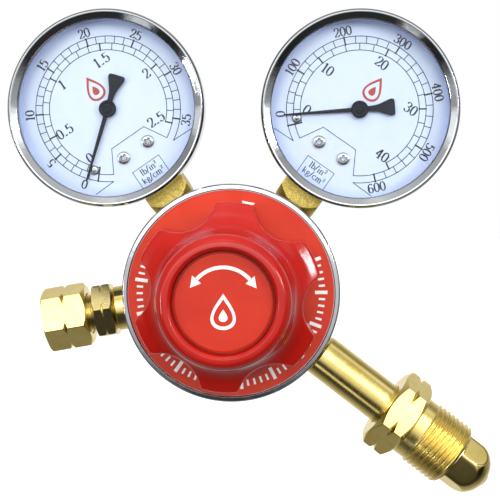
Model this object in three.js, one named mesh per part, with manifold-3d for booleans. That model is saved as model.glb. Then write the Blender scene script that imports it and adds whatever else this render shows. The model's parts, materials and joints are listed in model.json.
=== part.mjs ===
// Two-gauge acetylene pressure regulator, in millimetres, +Z up, knob towards -Y.
// The origin is the seat of the inlet nose, where the regulator is held by its cylinder.
import * as THREE from 'three';
import { mergeVertices } from 'three/addons/utils/BufferGeometryUtils.js';
import Module from 'manifold-3d';

const wasm = await Module();
wasm.setup();

// ---- driving dimensions ---------------------------------------------------------------
const GAP = 0.3; // clearance between pieces that touch
const ROUND = 28; // sides of a large round
const SMALL = 12; // sides of a small round
const TINY = 8; // sides of a pin or a pilot hole

// Depths along Y, measured from the flat rear face of the body (y = 0) towards the knob.
const PORT_Y = -12;
const DRUM_FRONT_Y = -21.5;
const BODY_FRONT_Y = -28.3;
const LABEL_SEAT_Y = -35.2;
const RIM_FRONT_Y = -36.4;
const TOWER_TOP_Y = -62;
const KNOB_BACK_Y = -42.4;
const KNOB_FRONT_Y = -78;

const BONNET_R = 35;
const LABEL_R = 33;
const TOWER_R = 16.5;
const BODY_R = 25.5;
const SCREW_R = 5;
const SCREW_HOLE_R = 5.3;

// Knob
const LOBES = 6;
const LOBE_R = 29.2;
const SCALLOP_R = 23.2;
const SCALLOP_ARC_R = 14;
const LOBE_TURN = THREE.MathUtils.degToRad(4.5);
const CROWN_R = 19.8;
const RECESS_R = 15.1;

// Port directions, counter-clockwise from +X as seen from the front
const GAUGE_TILT = 34.7;
const OUTLET_ANGLE = 190.2;
const INLET_ANGLE = -37.2;

// Inlet and outlet, as distances from the body's axis
const INLET_SEAT = 99;
const INLET_TIP = 106.2;
const INLET_TUBE_R = 7.2;
const INLET_TUBE_START = 35.2;
const INLET_NOSE_R = 9.25;
const INLET_NOSE_FLATS = 17;
const INLET_NUT_BACK = 64;
const INLET_NUT_HEX = 10.4;
const INLET_NUT_FLATS = 25.4;
const INLET_NUT_FRONT = 92.6;
const INLET_THREAD_R = 11.25;
const OUTLET_BOSS_R = 7.5;
const OUTLET_BOSS_END = 40.8;
const OUTLET_HEX_FLATS = 17;
const OUTLET_HEX_START = 41.1;
const OUTLET_HEX_LENGTH = 6.4;
const OUTLET_NECK_R = 6.6;
const OUTLET_NUT_START = 49.7;
const OUTLET_NUT_LENGTH = 14.8;
const OUTLET_NUT_FLATS = 19;

// Gauges
const GAUGE_DISTANCE = 72.2;
const BEZEL_R = 32;
const BEZEL_OPENING_R = 28.6;
const CASE_R = 30.4;
const CASE_WALL = 1.2;
const CASE_BACK_Y = -3;
const CASE_FRONT_Y = -27;
const BEZEL_FRONT_Y = -31.5;
const DIAL_FRONT_Y = -25;
const DIAL_R = 28.8;
const STEM_SQUARE = 14.5;
const STEM_SHANK_R = 6;
const STEM_FOOT = 33.6; // distance of the square's inner end from the body's axis
const SHANK_END = 23;
const POINTER_REST = 51; // clockwise from the stem, in degrees, held by the stop pin
const PIN_ANGLE = 47.4;
const PIN_R = 20.6;
const POINTER_TIP = 24.6;
const POINTER_TAIL = 11.4;
const HUB_R = 2.85;
const GEAR_CENTRES = 13.5;
const PINION_TEETH = 8;
const SECTOR_TEETH = 64; // on the whole circle
const SECTOR_REST = (3 * 360) / SECTOR_TEETH; // clockwise of the middle of its swing
const SCREW_SPREAD = 16.5; // the dial screws, either side of the stem
const DIAL_SCREW_R = 16.8;

// ---- materials ------------------------------------------------------------------------
const finish = (color, roughness, metalness) => ({ color, roughness, metalness });
const BRASS = finish(0xc8a64a, 0.3, 1);
const ROUGH_BRASS = finish(0xb8963f, 0.5, 1);
const CHROME = finish(0xc9ccd0, 0.12, 1);
const STEEL = finish(0x8d9096, 0.35, 1);
const RED_PLASTIC = finish(0xc81f1b, 0.28, 0);
const RED_LABEL = finish(0xd8301f, 0.35, 0);
const RUBBER = finish(0x1b1b1d, 0.8, 0);
const DIAL_WHITE = finish(0xeef2fa, 0.5, 0);
const POINTER_BLACK = finish(0x101114, 0.5, 0);
const CLEAR = finish(0xf4f8fb, 0.05, 0);
const BRONZE = finish(0x9a7440, 0.7, 1);

// ---- solids ---------------------------------------------------------------------------
// A closed geometry as a manifold solid with its faces turned outwards.
function solid(geometry) {
  const bare = geometry.index ? geometry.toNonIndexed() : geometry.clone();
  bare.deleteAttribute('normal');
  bare.deleteAttribute('uv');
  const merged = mergeVertices(bare, 1e-4);
  const points = merged.attributes.position.array;
  const corner = (i) => new THREE.Vector3().fromArray(points, 3 * i);
  const triangles = [];
  let volume = 0;
  for (let i = 0; i < merged.index.count; i += 3) {
    const [a, b, c] = merged.index.array.slice(i, i + 3);
    if (a === b || b === c || c === a) continue;
    volume += corner(a).dot(corner(b).cross(corner(c)));
    triangles.push([a, b, c]);
  }
  const facing = volume > 0 ? triangles : triangles.map(([a, b, c]) => [a, c, b]);
  const mesh = new wasm.Mesh({
    numProp: 3,
    vertProperties: new Float32Array(points),
    triVerts: new Uint32Array(facing.flat()),
  });
  return new wasm.Manifold(mesh);
}

// A solid of revolution about Y from [radius, y] points that start and end on the axis.
function turned(profile, sides = ROUND) {
  const points = profile.map(([r, y]) => new THREE.Vector2(r, y));
  return solid(new THREE.LatheGeometry(points, sides));
}

// A ring about Y from a closed loop of [radius, y] points.
const ring = (loop, sides = ROUND) => turned([...loop, loop[0]], sides);

// A plain round bar about Y between two depths.
const bar = (r, y0, y1, sides = SMALL) => turned([[0, y0], [r, y0], [r, y1], [0, y1]], sides);

// A plate whose outline lies in X and Z, from backY towards the front.
function plate(outline, backY, thickness) {
  const geometry = new THREE.ExtrudeGeometry(outline, { depth: thickness, bevelEnabled: false });
  return solid(geometry.rotateX(Math.PI / 2).translate(0, backY, 0));
}

// The corners of a circle or an ellipse.
function oval(x, z, rx, rz, sides) {
  return Array.from({ length: sides }, (_, i) => {
    const a = (2 * Math.PI * i) / sides;
    return new THREE.Vector2(x + rx * Math.cos(a), z + rz * Math.sin(a));
  });
}

const disc = (r, sides) => new THREE.Shape(oval(0, 0, r, r, sides));
const hole = (x, z, r) => new THREE.Path(oval(x, z, r, r, TINY));

function polygon(points) {
  return new THREE.Shape(points.map(([x, z]) => new THREE.Vector2(x, z)));
}

function box(width, depth, height, x, y, z) {
  return solid(new THREE.BoxGeometry(width, depth, height).translate(x, y, z));
}

// A hexagonal bar about Y between two depths, with a corner or a flat towards +Z.
function hexagon(flats, y0, y1, turn = 0) {
  const length = Math.abs(y1 - y0);
  const shape = new THREE.CylinderGeometry(flats / Math.sqrt(3), flats / Math.sqrt(3), length, 6);
  return solid(shape.rotateY(turn).translate(0, (y0 + y1) / 2, 0));
}

// Turns a solid made about Y so that its axis is X, its outward direction.
const outward = (manifold) => manifold.rotate([0, 0, -90]);

// Turns a solid made about Y so that its axis is Z.
const upright = (manifold) => manifold.rotate([90, 0, 0]);

// A coil spring about Y with closed round ends.
class Helix extends THREE.Curve {
  constructor(radius, y0, y1, turns) {
    super();
    Object.assign(this, { radius, y0, y1, turns });
  }
  getPoint(t, target = new THREE.Vector3()) {
    const a = 2 * Math.PI * this.turns * t;
    const y = this.y0 + (this.y1 - this.y0) * t;
    return target.set(this.radius * Math.cos(a), y, this.radius * Math.sin(a));
  }
}

function spring(meanR, wireR, y0, y1, turns) {
  const path = new Helix(meanR, y0 + wireR, y1 - wireR, turns);
  const options = { extrudePath: path, steps: turns * 8, bevelEnabled: false };
  return solid(new THREE.ExtrudeGeometry(disc(wireR, 6), options));
}

// A V groove that nicks the corners of a hexagon halfway along it.
function cornerNicks(flats, y, width) {
  const tip = flats / 2 + 0.25;
  const top = flats / Math.sqrt(3) + 1;
  return ring([[tip, y], [top, y - width], [top, y + width]], ROUND);
}

// ---- assembly -------------------------------------------------------------------------
const regulator = new THREE.Group();
const seatDirection = THREE.MathUtils.degToRad(INLET_ANGLE);
const assembly = new THREE.Group();
assembly.position.set(
  -INLET_SEAT * Math.cos(seatDirection),
  -PORT_Y,
  -INLET_SEAT * Math.sin(seatDirection),
);
regulator.add(assembly);

function add(parent, name, manifold, look) {
  const { vertProperties, triVerts } = manifold.getMesh();
  const geometry = new THREE.BufferGeometry();
  geometry.setAttribute('position', new THREE.BufferAttribute(vertProperties, 3));
  geometry.setIndex(new THREE.BufferAttribute(triVerts, 1));
  const flat = geometry.toNonIndexed();
  flat.computeVertexNormals();
  const mesh = new THREE.Mesh(flat, new THREE.MeshStandardMaterial(look));
  mesh.name = name;
  parent.add(mesh);
}

// A group whose local +X runs out along a port, through the port plane.
function port(angle) {
  const group = new THREE.Group();
  group.position.y = PORT_Y;
  group.rotation.y = -THREE.MathUtils.degToRad(angle);
  assembly.add(group);
  return group;
}

// A round hole or boss along a port of the body, in the assembly's own frame.
function alongPort(angle, r, from, to, sides = SMALL) {
  return outward(bar(r, from, to, sides)).rotate([0, -angle, 0]).translate([0, PORT_Y, 0]);
}

// ---- body and bonnet ------------------------------------------------------------------
const LEFT_GAUGE_ANGLE = 90 + GAUGE_TILT;
const RIGHT_GAUGE_ANGLE = 90 - GAUGE_TILT;
const FLANGE_R = BONNET_R - 1.6 - GAP;
const CHAMBER_R = 21.5;
const VALVE_BORE_R = 7.5;
const PLUG_BORE_R = 8.3;
const NOZZLE_BORE_R = 5.3;
const PORT_BOSS_R = 8.3;

function regulatorBody() {
  let body = turned([
    [0, 0], [18, 0], [19, -1], [19, -4], [BODY_R - 1, -5], [BODY_R, -6], [BODY_R, DRUM_FRONT_Y],
    [FLANGE_R, DRUM_FRONT_Y], [FLANGE_R, BODY_FRONT_Y], [0, BODY_FRONT_Y],
  ]);
  for (const angle of [LEFT_GAUGE_ANGLE, RIGHT_GAUGE_ANGLE]) {
    body = body.add(alongPort(angle, PORT_BOSS_R, 18, STEM_FOOT - 0.5));
  }
  body = body.add(alongPort(INLET_ANGLE, PORT_BOSS_R, 18, STEM_FOOT - 0.5));
  body = body.add(alongPort(OUTLET_ANGLE, OUTLET_BOSS_R, 18, OUTLET_BOSS_END, ROUND));
  body = body.subtract(turned([
    [0, 0.5], [PLUG_BORE_R, 0.5], [PLUG_BORE_R, -6], [VALVE_BORE_R, -6], [VALVE_BORE_R, -17],
    [NOZZLE_BORE_R, -17], [NOZZLE_BORE_R, -25], [CHAMBER_R, -25], [CHAMBER_R, -29], [0, -29],
  ]));
  // threaded mouths, then the passages: high pressure to the valve bore, low to the chamber
  const mouths = [
    [LEFT_GAUGE_ANGLE, STEM_SHANK_R, SHANK_END],
    [RIGHT_GAUGE_ANGLE, STEM_SHANK_R, SHANK_END],
    [INLET_ANGLE, 6.1, 23],
    [OUTLET_ANGLE, 5.4, 25],
  ];
  for (const [angle, r, depth] of mouths) {
    body = body.subtract(alongPort(angle, r + GAP, depth - GAP, 60));
  }
  body = body.subtract(alongPort(RIGHT_GAUGE_ANGLE, 1.6, 5, 40, 12));
  body = body.subtract(alongPort(INLET_ANGLE, 2.6, 5, 40, 12));
  for (const angle of [LEFT_GAUGE_ANGLE, OUTLET_ANGLE]) {
    body = body.subtract(alongPort(angle, 2, 14, 40, 12));
    const a = THREE.MathUtils.degToRad(angle);
    const riser = bar(1.8, PORT_Y, -26, 12).translate([16 * Math.cos(a), 0, 16 * Math.sin(a)]);
    body = body.subtract(riser);
  }
  return body;
}

function bonnet() {
  const skirtIn = FLANGE_R + GAP;
  return ring([
    [skirtIn, -20.6], [BONNET_R - 0.5, -20.6], [BONNET_R, -21.2], [BONNET_R, RIM_FRONT_Y + 0.9],
    [BONNET_R - 0.4, RIM_FRONT_Y + 0.2], [BONNET_R - 1, RIM_FRONT_Y], [BONNET_R - 1.5, RIM_FRONT_Y + 0.2],
    [LABEL_R + 0.3, RIM_FRONT_Y + 0.8], [LABEL_R + 0.3, LABEL_SEAT_Y], [TOWER_R, LABEL_SEAT_Y],
    [TOWER_R, TOWER_TOP_Y + 1.5], [TOWER_R - 1.5, TOWER_TOP_Y], [SCREW_HOLE_R, TOWER_TOP_Y],
    [SCREW_HOLE_R, TOWER_TOP_Y + 4], [13.2, TOWER_TOP_Y + 4], [13.2, -34], [21.5, -31.1], [28, -31.1],
    [28, BODY_FRONT_Y - GAP], [skirtIn, BODY_FRONT_Y - GAP],
  ]);
}

add(assembly, 'regulator_body', regulatorBody(), ROUGH_BRASS);
add(assembly, 'bonnet', bonnet(), CHROME);
add(assembly, 'bonnet_label', ring([
  [TOWER_R + 0.6, LABEL_SEAT_Y - GAP], [LABEL_R, LABEL_SEAT_Y - GAP],
  [LABEL_R, LABEL_SEAT_Y - 0.8], [TOWER_R + 0.6, LABEL_SEAT_Y - 0.8],
]), RED_LABEL);

// ---- knob and adjusting screw ---------------------------------------------------------
// The knob's outline at an angle: a circle of lobe tips with round scallops between them.
function lobeOutline(angle) {
  const step = (2 * Math.PI) / LOBES;
  const centre = SCALLOP_R + SCALLOP_ARC_R;
  const off = ((angle % step) + step) % step - step / 2;
  const reach = SCALLOP_ARC_R ** 2 - (centre * Math.sin(off)) ** 2;
  const scallop = reach > 0 ? centre * Math.cos(off) - Math.sqrt(reach) : LOBE_R + 9;
  const blend = 1.4;
  const share = THREE.MathUtils.clamp(0.5 + (scallop - LOBE_R) / (2 * blend), 0, 1);
  return THREE.MathUtils.lerp(scallop, LOBE_R, share) - blend * share * (1 - share);
}

// A turned form whose [radius, y, share] rings swell into the lobes by their share.
function lobed(profile, sides) {
  const rows = profile.map(([r, y, share]) => Array.from({ length: sides }, (_, i) => {
    const turn = (2 * Math.PI * i) / sides;
    const angle = turn + LOBE_TURN;
    const outline = lobeOutline(turn) / LOBE_R;
    const radius = r * THREE.MathUtils.lerp(1, outline, share);
    return [radius * Math.sin(angle), y, radius * Math.cos(angle)];
  }));
  const corners = [];
  for (let j = 0; j + 1 < rows.length; j++) {
    for (let i = 0; i < sides; i++) {
      const k = (i + 1) % sides;
      corners.push(rows[j][i], rows[j][k], rows[j + 1][k]);
      corners.push(rows[j][i], rows[j + 1][k], rows[j + 1][i]);
    }
  }
  const geometry = new THREE.BufferGeometry();
  geometry.setAttribute('position', new THREE.Float32BufferAttribute(corners.flat(), 3));
  return solid(geometry);
}

function knob() {
  const recess = KNOB_FRONT_Y + 3.4;
  const socket = KNOB_FRONT_Y + 5.4;
  const hub = KNOB_FRONT_Y + 11;
  return lobed([
    [0, recess, 0], [RECESS_R, recess, 0], [RECESS_R + 0.5, KNOB_FRONT_Y + 0.8, 0],
    [RECESS_R + 1.4, KNOB_FRONT_Y, 0], [CROWN_R - 1.2, KNOB_FRONT_Y, 0], [CROWN_R, KNOB_FRONT_Y + 1.2, 0],
    [CROWN_R + 0.9, -66, 0], [CROWN_R + 2.2, -61.5, 0.2], [CROWN_R + 5, -57.5, 0.7],
    [LOBE_R - 1.6, -55.6, 1], [LOBE_R, -53.4, 1], [LOBE_R, -45, 1],
    [LOBE_R - 1.4, KNOB_BACK_Y, 1], [TOWER_R + 3, KNOB_BACK_Y, 0], [TOWER_R + 2.6, hub, 0],
    [SCREW_R + GAP, hub, 0], [SCREW_R + GAP, socket, 0], [0, socket, 0],
  ], 48);
}

const SCREW_TIP_Y = -58.6;
add(assembly, 'adjusting_knob', knob(), RED_PLASTIC);
add(assembly, 'knob_cap', turned([
  [0, KNOB_FRONT_Y + 3.1], [RECESS_R - 0.4, KNOB_FRONT_Y + 3.1],
  [RECESS_R - 0.4, KNOB_FRONT_Y + 2.3], [0, KNOB_FRONT_Y + 2.3],
]), RED_LABEL);
add(assembly, 'adjusting_screw', turned([
  [0, KNOB_FRONT_Y + 5.8], [SCREW_R - 0.8, KNOB_FRONT_Y + 5.8], [SCREW_R, KNOB_FRONT_Y + 6.6],
  [SCREW_R, SCREW_TIP_Y - 1], [SCREW_R - 1, SCREW_TIP_Y], [0, SCREW_TIP_Y],
]), STEEL);

// ---- spring side: ball, button, spring, plate, diaphragm, slip ring --------------------
const BALL_R = 2;
const BUTTON_FRONT_Y = SCREW_TIP_Y + 2 * BALL_R + 2 * GAP;
const BUTTON_BACK_Y = BUTTON_FRONT_Y + 3;
const PLATE_FRONT_Y = -32.2;
const ball = new THREE.SphereGeometry(BALL_R, 12, 8);
add(assembly, 'thrust_ball', solid(ball.translate(0, SCREW_TIP_Y + GAP + BALL_R, 0)), STEEL);
add(assembly, 'spring_button', turned([
  [0, BUTTON_FRONT_Y], [4, BUTTON_FRONT_Y], [12.4, BUTTON_FRONT_Y + 1.2], [12.4, BUTTON_BACK_Y],
  [8.6, BUTTON_BACK_Y], [8, BUTTON_BACK_Y + 1.6], [0, BUTTON_BACK_Y + 1.6],
]), STEEL);
add(assembly, 'adjusting_spring',
  spring(10.4, 1.25, BUTTON_BACK_Y + GAP, PLATE_FRONT_Y - GAP, 4.5), STEEL);
add(assembly, 'diaphragm_plate', turned([
  [0, PLATE_FRONT_Y - 2.2], [8, PLATE_FRONT_Y - 2.2], [8.6, PLATE_FRONT_Y], [12.6, PLATE_FRONT_Y],
  [15, -31], [15, -30], [0, -30],
]), BRASS);
add(assembly, 'diaphragm', turned([
  [0, -28.7], [27.6, -28.7], [27.6, -29.7], [0, -29.7],
]), RUBBER);
add(assembly, 'slip_ring', ring([
  [21.8, -30], [27.6, -30], [27.6, -30.8], [21.8, -30.8],
]), BRASS);

// ---- valve: nozzle, seat, stem, spring, rear plug --------------------------------------
add(assembly, 'valve_nozzle', ring([
  [1.3, -26.4], [3.6, -26.4], [5, -24.6], [5, -17.8], [3.4, -17.8], [2.2, -16.7], [1.3, -16.7],
], SMALL), BRASS);
add(assembly, 'valve_seat', ring([
  [1.3, -16.4], [4.8, -16.4], [4.8, -14.9], [1.3, -14.9],
], SMALL), RUBBER);
add(assembly, 'valve_stem', turned([
  [0, -28.4], [0.9, -28.4], [0.9, -14.6], [5.4, -14.6], [5.4, -11], [2.4, -10.4], [2.4, -8], [0, -8],
], SMALL), BRASS);
add(assembly, 'valve_spring', spring(3.6, 0.5, -10.1, -5, 4), STEEL);
add(assembly, 'plug_washer', ring([
  [6, -5.7], [8, -5.7], [8, -5], [6, -5],
], SMALL), BRONZE);
const PLUG_FRONT_Y = -4.7;
const PLUG_BACK_Y = -0.3;
add(assembly, 'rear_plug', bar(8, PLUG_FRONT_Y, PLUG_BACK_Y, ROUND)
  .subtract(hexagon(8, -3.2, 1)), BRASS);

// ---- inlet: nipple with bullet nose, filter, nut ---------------------------------------
const inlet = port(INLET_ANGLE);

function inletNipple() {
  const dome = Array.from({ length: 7 }, (_, i) => {
    const a = (Math.PI / 2) * (i / 6);
    const base = INLET_TIP - 8.4;
    return [INLET_NOSE_R * Math.cos(a), base + (INLET_TIP - base) * Math.sin(a)];
  });
  const noseBack = INLET_NUT_FRONT - 8;
  const nipple = turned([
    [0, 24], [6.1, 24], [6.1, INLET_TUBE_START], [INLET_TUBE_R, INLET_TUBE_START + 1.4],
    [INLET_TUBE_R, noseBack],
    [INLET_NOSE_R, noseBack + 0.6], ...dome.slice(0, -1), [0, INLET_TIP],
  ]);
  const bore = bar(3.4, 23, 42, 16).add(bar(2.2, 41, INLET_TIP + 1, 12));
  const nearTip = bar(INLET_NOSE_R + 2, INLET_NUT_FRONT + 0.7, INLET_TIP + 1, ROUND);
  const flats = hexagon(INLET_NOSE_FLATS, INLET_NUT_FRONT, INLET_TIP + 2, Math.PI / 6);
  return nipple.subtract(nearTip.subtract(flats)).subtract(bore);
}

function inletNut() {
  const hexEnd = INLET_NUT_BACK + INLET_NUT_HEX;
  const corner = INLET_NUT_FLATS / Math.sqrt(3);
  const chamfer = turned([
    [0, INLET_NUT_BACK], [corner - 2.4, INLET_NUT_BACK], [corner + 0.1, INLET_NUT_BACK + 1.7],
    [corner + 0.1, hexEnd - 1.7], [corner - 2.4, hexEnd], [0, hexEnd],
  ]);
  const hex = hexagon(INLET_NUT_FLATS, INLET_NUT_BACK, hexEnd, 0).intersect(chamfer)
    .subtract(cornerNicks(INLET_NUT_FLATS, INLET_NUT_BACK + INLET_NUT_HEX / 2, 1.5));
  const thread = turned([
    [0, hexEnd - 2], [INLET_THREAD_R - 0.6, hexEnd - 2], [INLET_THREAD_R - 0.6, hexEnd + 4],
    [INLET_THREAD_R, hexEnd + 4.6], [INLET_THREAD_R, INLET_NUT_FRONT - 1],
    [INLET_THREAD_R - 0.9, INLET_NUT_FRONT], [0, INLET_NUT_FRONT],
  ]);
  const shoulder = INLET_NUT_FRONT - 8 - GAP;
  const bore = turned([
    [0, INLET_NUT_BACK - 1], [INLET_TUBE_R + GAP, INLET_NUT_BACK - 1], [INLET_TUBE_R + GAP, shoulder],
    [INLET_NOSE_R + GAP, shoulder + 0.6], [INLET_NOSE_R + GAP, INLET_NUT_FRONT + 1],
    [0, INLET_NUT_FRONT + 1],
  ]);
  return hex.add(thread).subtract(bore);
}

add(inlet, 'inlet_nipple', outward(inletNipple()), BRASS);
add(inlet, 'inlet_filter', outward(bar(3.1, 26, 41, 12)), BRONZE);
add(inlet, 'inlet_nut', outward(inletNut()), BRASS);

// ---- outlet: adapter and hose nut ------------------------------------------------------
const outlet = port(OUTLET_ANGLE);
const ADAPTER_END = OUTLET_NUT_START + 7;

function outletAdapter() {
  const hexEnd = OUTLET_HEX_START + OUTLET_HEX_LENGTH;
  const hex = hexagon(OUTLET_HEX_FLATS, OUTLET_HEX_START, hexEnd, Math.PI / 6)
    .subtract(cornerNicks(OUTLET_HEX_FLATS, (OUTLET_HEX_START + hexEnd) / 2, 0.9));
  const shank = turned([
    [0, 25.5], [5.4, 25.5], [5.4, OUTLET_HEX_START + 1], [OUTLET_NECK_R, OUTLET_HEX_START + 1],
    [OUTLET_NECK_R, ADAPTER_END - 1], [OUTLET_NECK_R - 1, ADAPTER_END], [0, ADAPTER_END],
  ]);
  return hex.add(shank).subtract(bar(2.6, 25, ADAPTER_END + 1, 12));
}

function outletNut() {
  const end = OUTLET_NUT_START + OUTLET_NUT_LENGTH;
  const corner = OUTLET_NUT_FLATS / Math.sqrt(3);
  const chamfer = turned([
    [0, OUTLET_NUT_START], [corner - 1.6, OUTLET_NUT_START], [corner + 0.1, OUTLET_NUT_START + 1.3],
    [corner + 0.1, end - 1.3], [corner - 1.6, end], [0, end],
  ]);
  const bore = turned([
    [0, OUTLET_NUT_START - 1], [OUTLET_NECK_R + GAP, OUTLET_NUT_START - 1],
    [OUTLET_NECK_R + GAP, end - 3], [5.2, end - 3], [5.2, end + 1], [0, end + 1],
  ]);
  return hexagon(OUTLET_NUT_FLATS, OUTLET_NUT_START, end, 0).intersect(chamfer)
    .subtract(cornerNicks(OUTLET_NUT_FLATS, (OUTLET_NUT_START + end) / 2, 1.4)).subtract(bore);
}

add(outlet, 'outlet_adapter', outward(outletAdapter()), BRASS);
add(outlet, 'outlet_nut', outward(outletNut()), BRASS);

// ---- gauges ---------------------------------------------------------------------------
// A point of the dial, at an angle clockwise from the stem as seen from the front.
function onDial(angle, r) {
  const a = THREE.MathUtils.degToRad(angle);
  return [-r * Math.sin(a), -r * Math.cos(a)];
}

function gaugeCase() {
  const inner = CASE_R - CASE_WALL;
  const cup = turned([
    [0, CASE_BACK_Y], [CASE_R - 1.4, CASE_BACK_Y], [CASE_R, CASE_BACK_Y - 1.4], [CASE_R, CASE_FRONT_Y],
    [inner, CASE_FRONT_Y], [inner, CASE_BACK_Y - CASE_WALL], [0, CASE_BACK_Y - CASE_WALL],
  ]);
  const opening = STEM_SQUARE + 2 * GAP;
  return cup.subtract(box(opening, opening, 10, 0, PORT_Y, -CASE_R));
}

function gaugeBezel() {
  const bore = CASE_R + GAP;
  return ring([
    [bore, -22.5], [BEZEL_R - 0.5, -22.5], [BEZEL_R, -23.2], [BEZEL_R, BEZEL_FRONT_Y + 1.8],
    [BEZEL_R - 0.8, BEZEL_FRONT_Y + 0.5], [BEZEL_R - 1.8, BEZEL_FRONT_Y],
    [BEZEL_OPENING_R + 0.4, BEZEL_FRONT_Y + 0.8], [BEZEL_OPENING_R, BEZEL_FRONT_Y + 1.6],
    [BEZEL_OPENING_R, -29.6], [bore, -29.6],
  ]);
}

// The brass socket: shank in the body, square bar, and block that holds tube and movement.
function gaugeSocket() {
  const z = (distance) => distance - GAUGE_DISTANCE;
  const square = box(STEM_SQUARE, STEM_SQUARE, 14, 0, PORT_Y, z(STEM_FOOT) + 7);
  const corner = STEM_SQUARE / Math.SQRT2;
  const chamfer = upright(turned([
    [0, z(STEM_FOOT)], [STEM_SHANK_R + 0.6, z(STEM_FOOT)], [corner + 0.2, z(STEM_FOOT) + 4.6],
    [corner + 0.2, -20], [0, -20],
  ]));
  const shank = upright(bar(STEM_SHANK_R, z(SHANK_END), z(STEM_FOOT) + 1));
  const block = box(12, 7.9, 16, 0, -11.95, -18);
  const placed = (part) => part.translate([0, PORT_Y, 0]);
  const passage = placed(upright(bar(1.5, z(SHANK_END) - 1, -24, 10)));
  return square.intersect(placed(chamfer)).add(placed(shank)).add(block).subtract(passage);
}

// Flattened tube that curls clockwise from the block almost all round the case.
function bourdonTube() {
  const arcR = 24;
  class Arc extends THREE.Curve {
    getPoint(t, target = new THREE.Vector3()) {
      const [x, z] = onDial(18 + 264 * t, arcR);
      return target.set(x, -11.5, z);
    }
  }
  const section = new THREE.Shape(oval(0, 0, 3.6, 1.3, 8));
  const options = { extrudePath: new Arc(), steps: 20, bevelEnabled: false };
  return solid(new THREE.ExtrudeGeometry(section, options));
}

const SECTOR_PIVOT_Z = -GEAR_CENTRES;
const PILLARS = [-SCREW_SPREAD, SCREW_SPREAD].map((angle) => onDial(angle, DIAL_SCREW_R));

function movementFrame() {
  const plateShape = () => {
    const shape = polygon([[-8, 3.5], [-8, -19], [8, -19], [8, 3.5], [4, 6], [-4, 6]]);
    shape.holes.push(hole(0, 0, 1.1), hole(0, SECTOR_PIVOT_Z, 1.1));
    return shape;
  };
  let frame = plate(plateShape(), -16.2, 1).add(plate(plateShape(), -22.6, 0.8));
  for (const [x, z] of PILLARS) {
    frame = frame.add(bar(1.5, -16.5, -23, 12).translate([x, 0, z]));
    frame = frame.subtract(bar(1, -21, -24, 12).translate([x, 0, z]));
  }
  return frame;
}

// Slim gear teeth: [x, z] points of one tooth after another about a centre.
function teeth(centreZ, pitchR, first, count, step, tipR, rootR) {
  const points = [];
  const half = 0.17 * step;
  for (let i = 0; i < count; i++) {
    const a = first + i * step;
    for (const [share, r] of [[-1.5, rootR], [-0.6, tipR], [0.6, tipR], [1.5, rootR]]) {
      const angle = a + share * half;
      points.push([r * Math.sin(angle), centreZ + r * Math.cos(angle)]);
    }
  }
  return points;
}

const PINION_PITCH_R = (GEAR_CENTRES * PINION_TEETH) / (PINION_TEETH + SECTOR_TEETH);
const SECTOR_PITCH_R = GEAR_CENTRES - PINION_PITCH_R;

function pinionShaft() {
  const step = (2 * Math.PI) / PINION_TEETH;
  const outline = teeth(0, PINION_PITCH_R, step / 2, PINION_TEETH, step,
    PINION_PITCH_R + 0.25, PINION_PITCH_R - 0.38);
  const gear = plate(polygon(outline), -18.2, 3.4);
  return gear.add(bar(0.8, -16.4, DIAL_FRONT_Y - 1.2, TINY));
}

// The sector stands clockwise of its middle while the pointer is on its stop.
function sectorGear() {
  const step = (2 * Math.PI) / SECTOR_TEETH;
  const rim = teeth(SECTOR_PIVOT_Z, SECTOR_PITCH_R, -5 * step, 11, step,
    SECTOR_PITCH_R + 0.25, SECTOR_PITCH_R - 0.38);
  const pivot = (x, z) => [x, SECTOR_PIVOT_Z + z];
  const wedge = polygon([pivot(-1.2, 0.5), pivot(-4.9, 8.6), ...rim, pivot(4.9, 8.6), pivot(1.2, 0.5)]);
  const tail = polygon([pivot(0, -0.9), pivot(8.9, 2.1), pivot(8.9, 3.9), pivot(0, 0.9)]);
  const shape = plate(wedge, -19.3, 1).add(plate(tail, -19.3, 1))
    .add(bar(1.9, -19.3, -20.3, 12).translate([0, 0, SECTOR_PIVOT_Z]))
    .add(bar(0.8, -16.4, -23.2, 12).translate([0, 0, SECTOR_PIVOT_Z]));
  return shape.translate([0, 0, -SECTOR_PIVOT_Z]).rotate([0, SECTOR_REST, 0])
    .translate([0, 0, SECTOR_PIVOT_Z]);
}

// The link hangs behind the sector's tail and reaches out to the tube's free end.
function tailPin() {
  const a = THREE.MathUtils.degToRad(18.6 - SECTOR_REST);
  return [8 * Math.cos(a), SECTOR_PIVOT_Z + 8 * Math.sin(a)];
}

function movementLink() {
  const [x, z] = tailPin();
  const end = [20.4, -9.6];
  const along = new THREE.Vector2(end[0] - x, end[1] - z).normalize();
  const side = [-along.y * 0.8, along.x * 0.8];
  const strip = polygon([
    [x + side[0], z + side[1]], [x - side[0], z - side[1]],
    [end[0] - side[0], end[1] - side[1]], [end[0] + side[0], end[1] + side[1]],
  ]);
  return plate(strip, -18.2, 0.7)
    .add(bar(1.1, -18.2, -18.9, 10).translate([x, 0, z]))
    .add(bar(1.1, -18.2, -18.9, 10).translate([end[0], 0, end[1]]));
}

function gaugeDial() {
  const shape = disc(DIAL_R, ROUND);
  shape.holes.push(hole(0, 0, 1.6), hole(...onDial(PIN_ANGLE, PIN_R), 0.9));
  for (const [x, z] of PILLARS) shape.holes.push(hole(x, z, 1.2));
  return plate(shape, DIAL_FRONT_Y + 0.6, 0.6);
}

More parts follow.
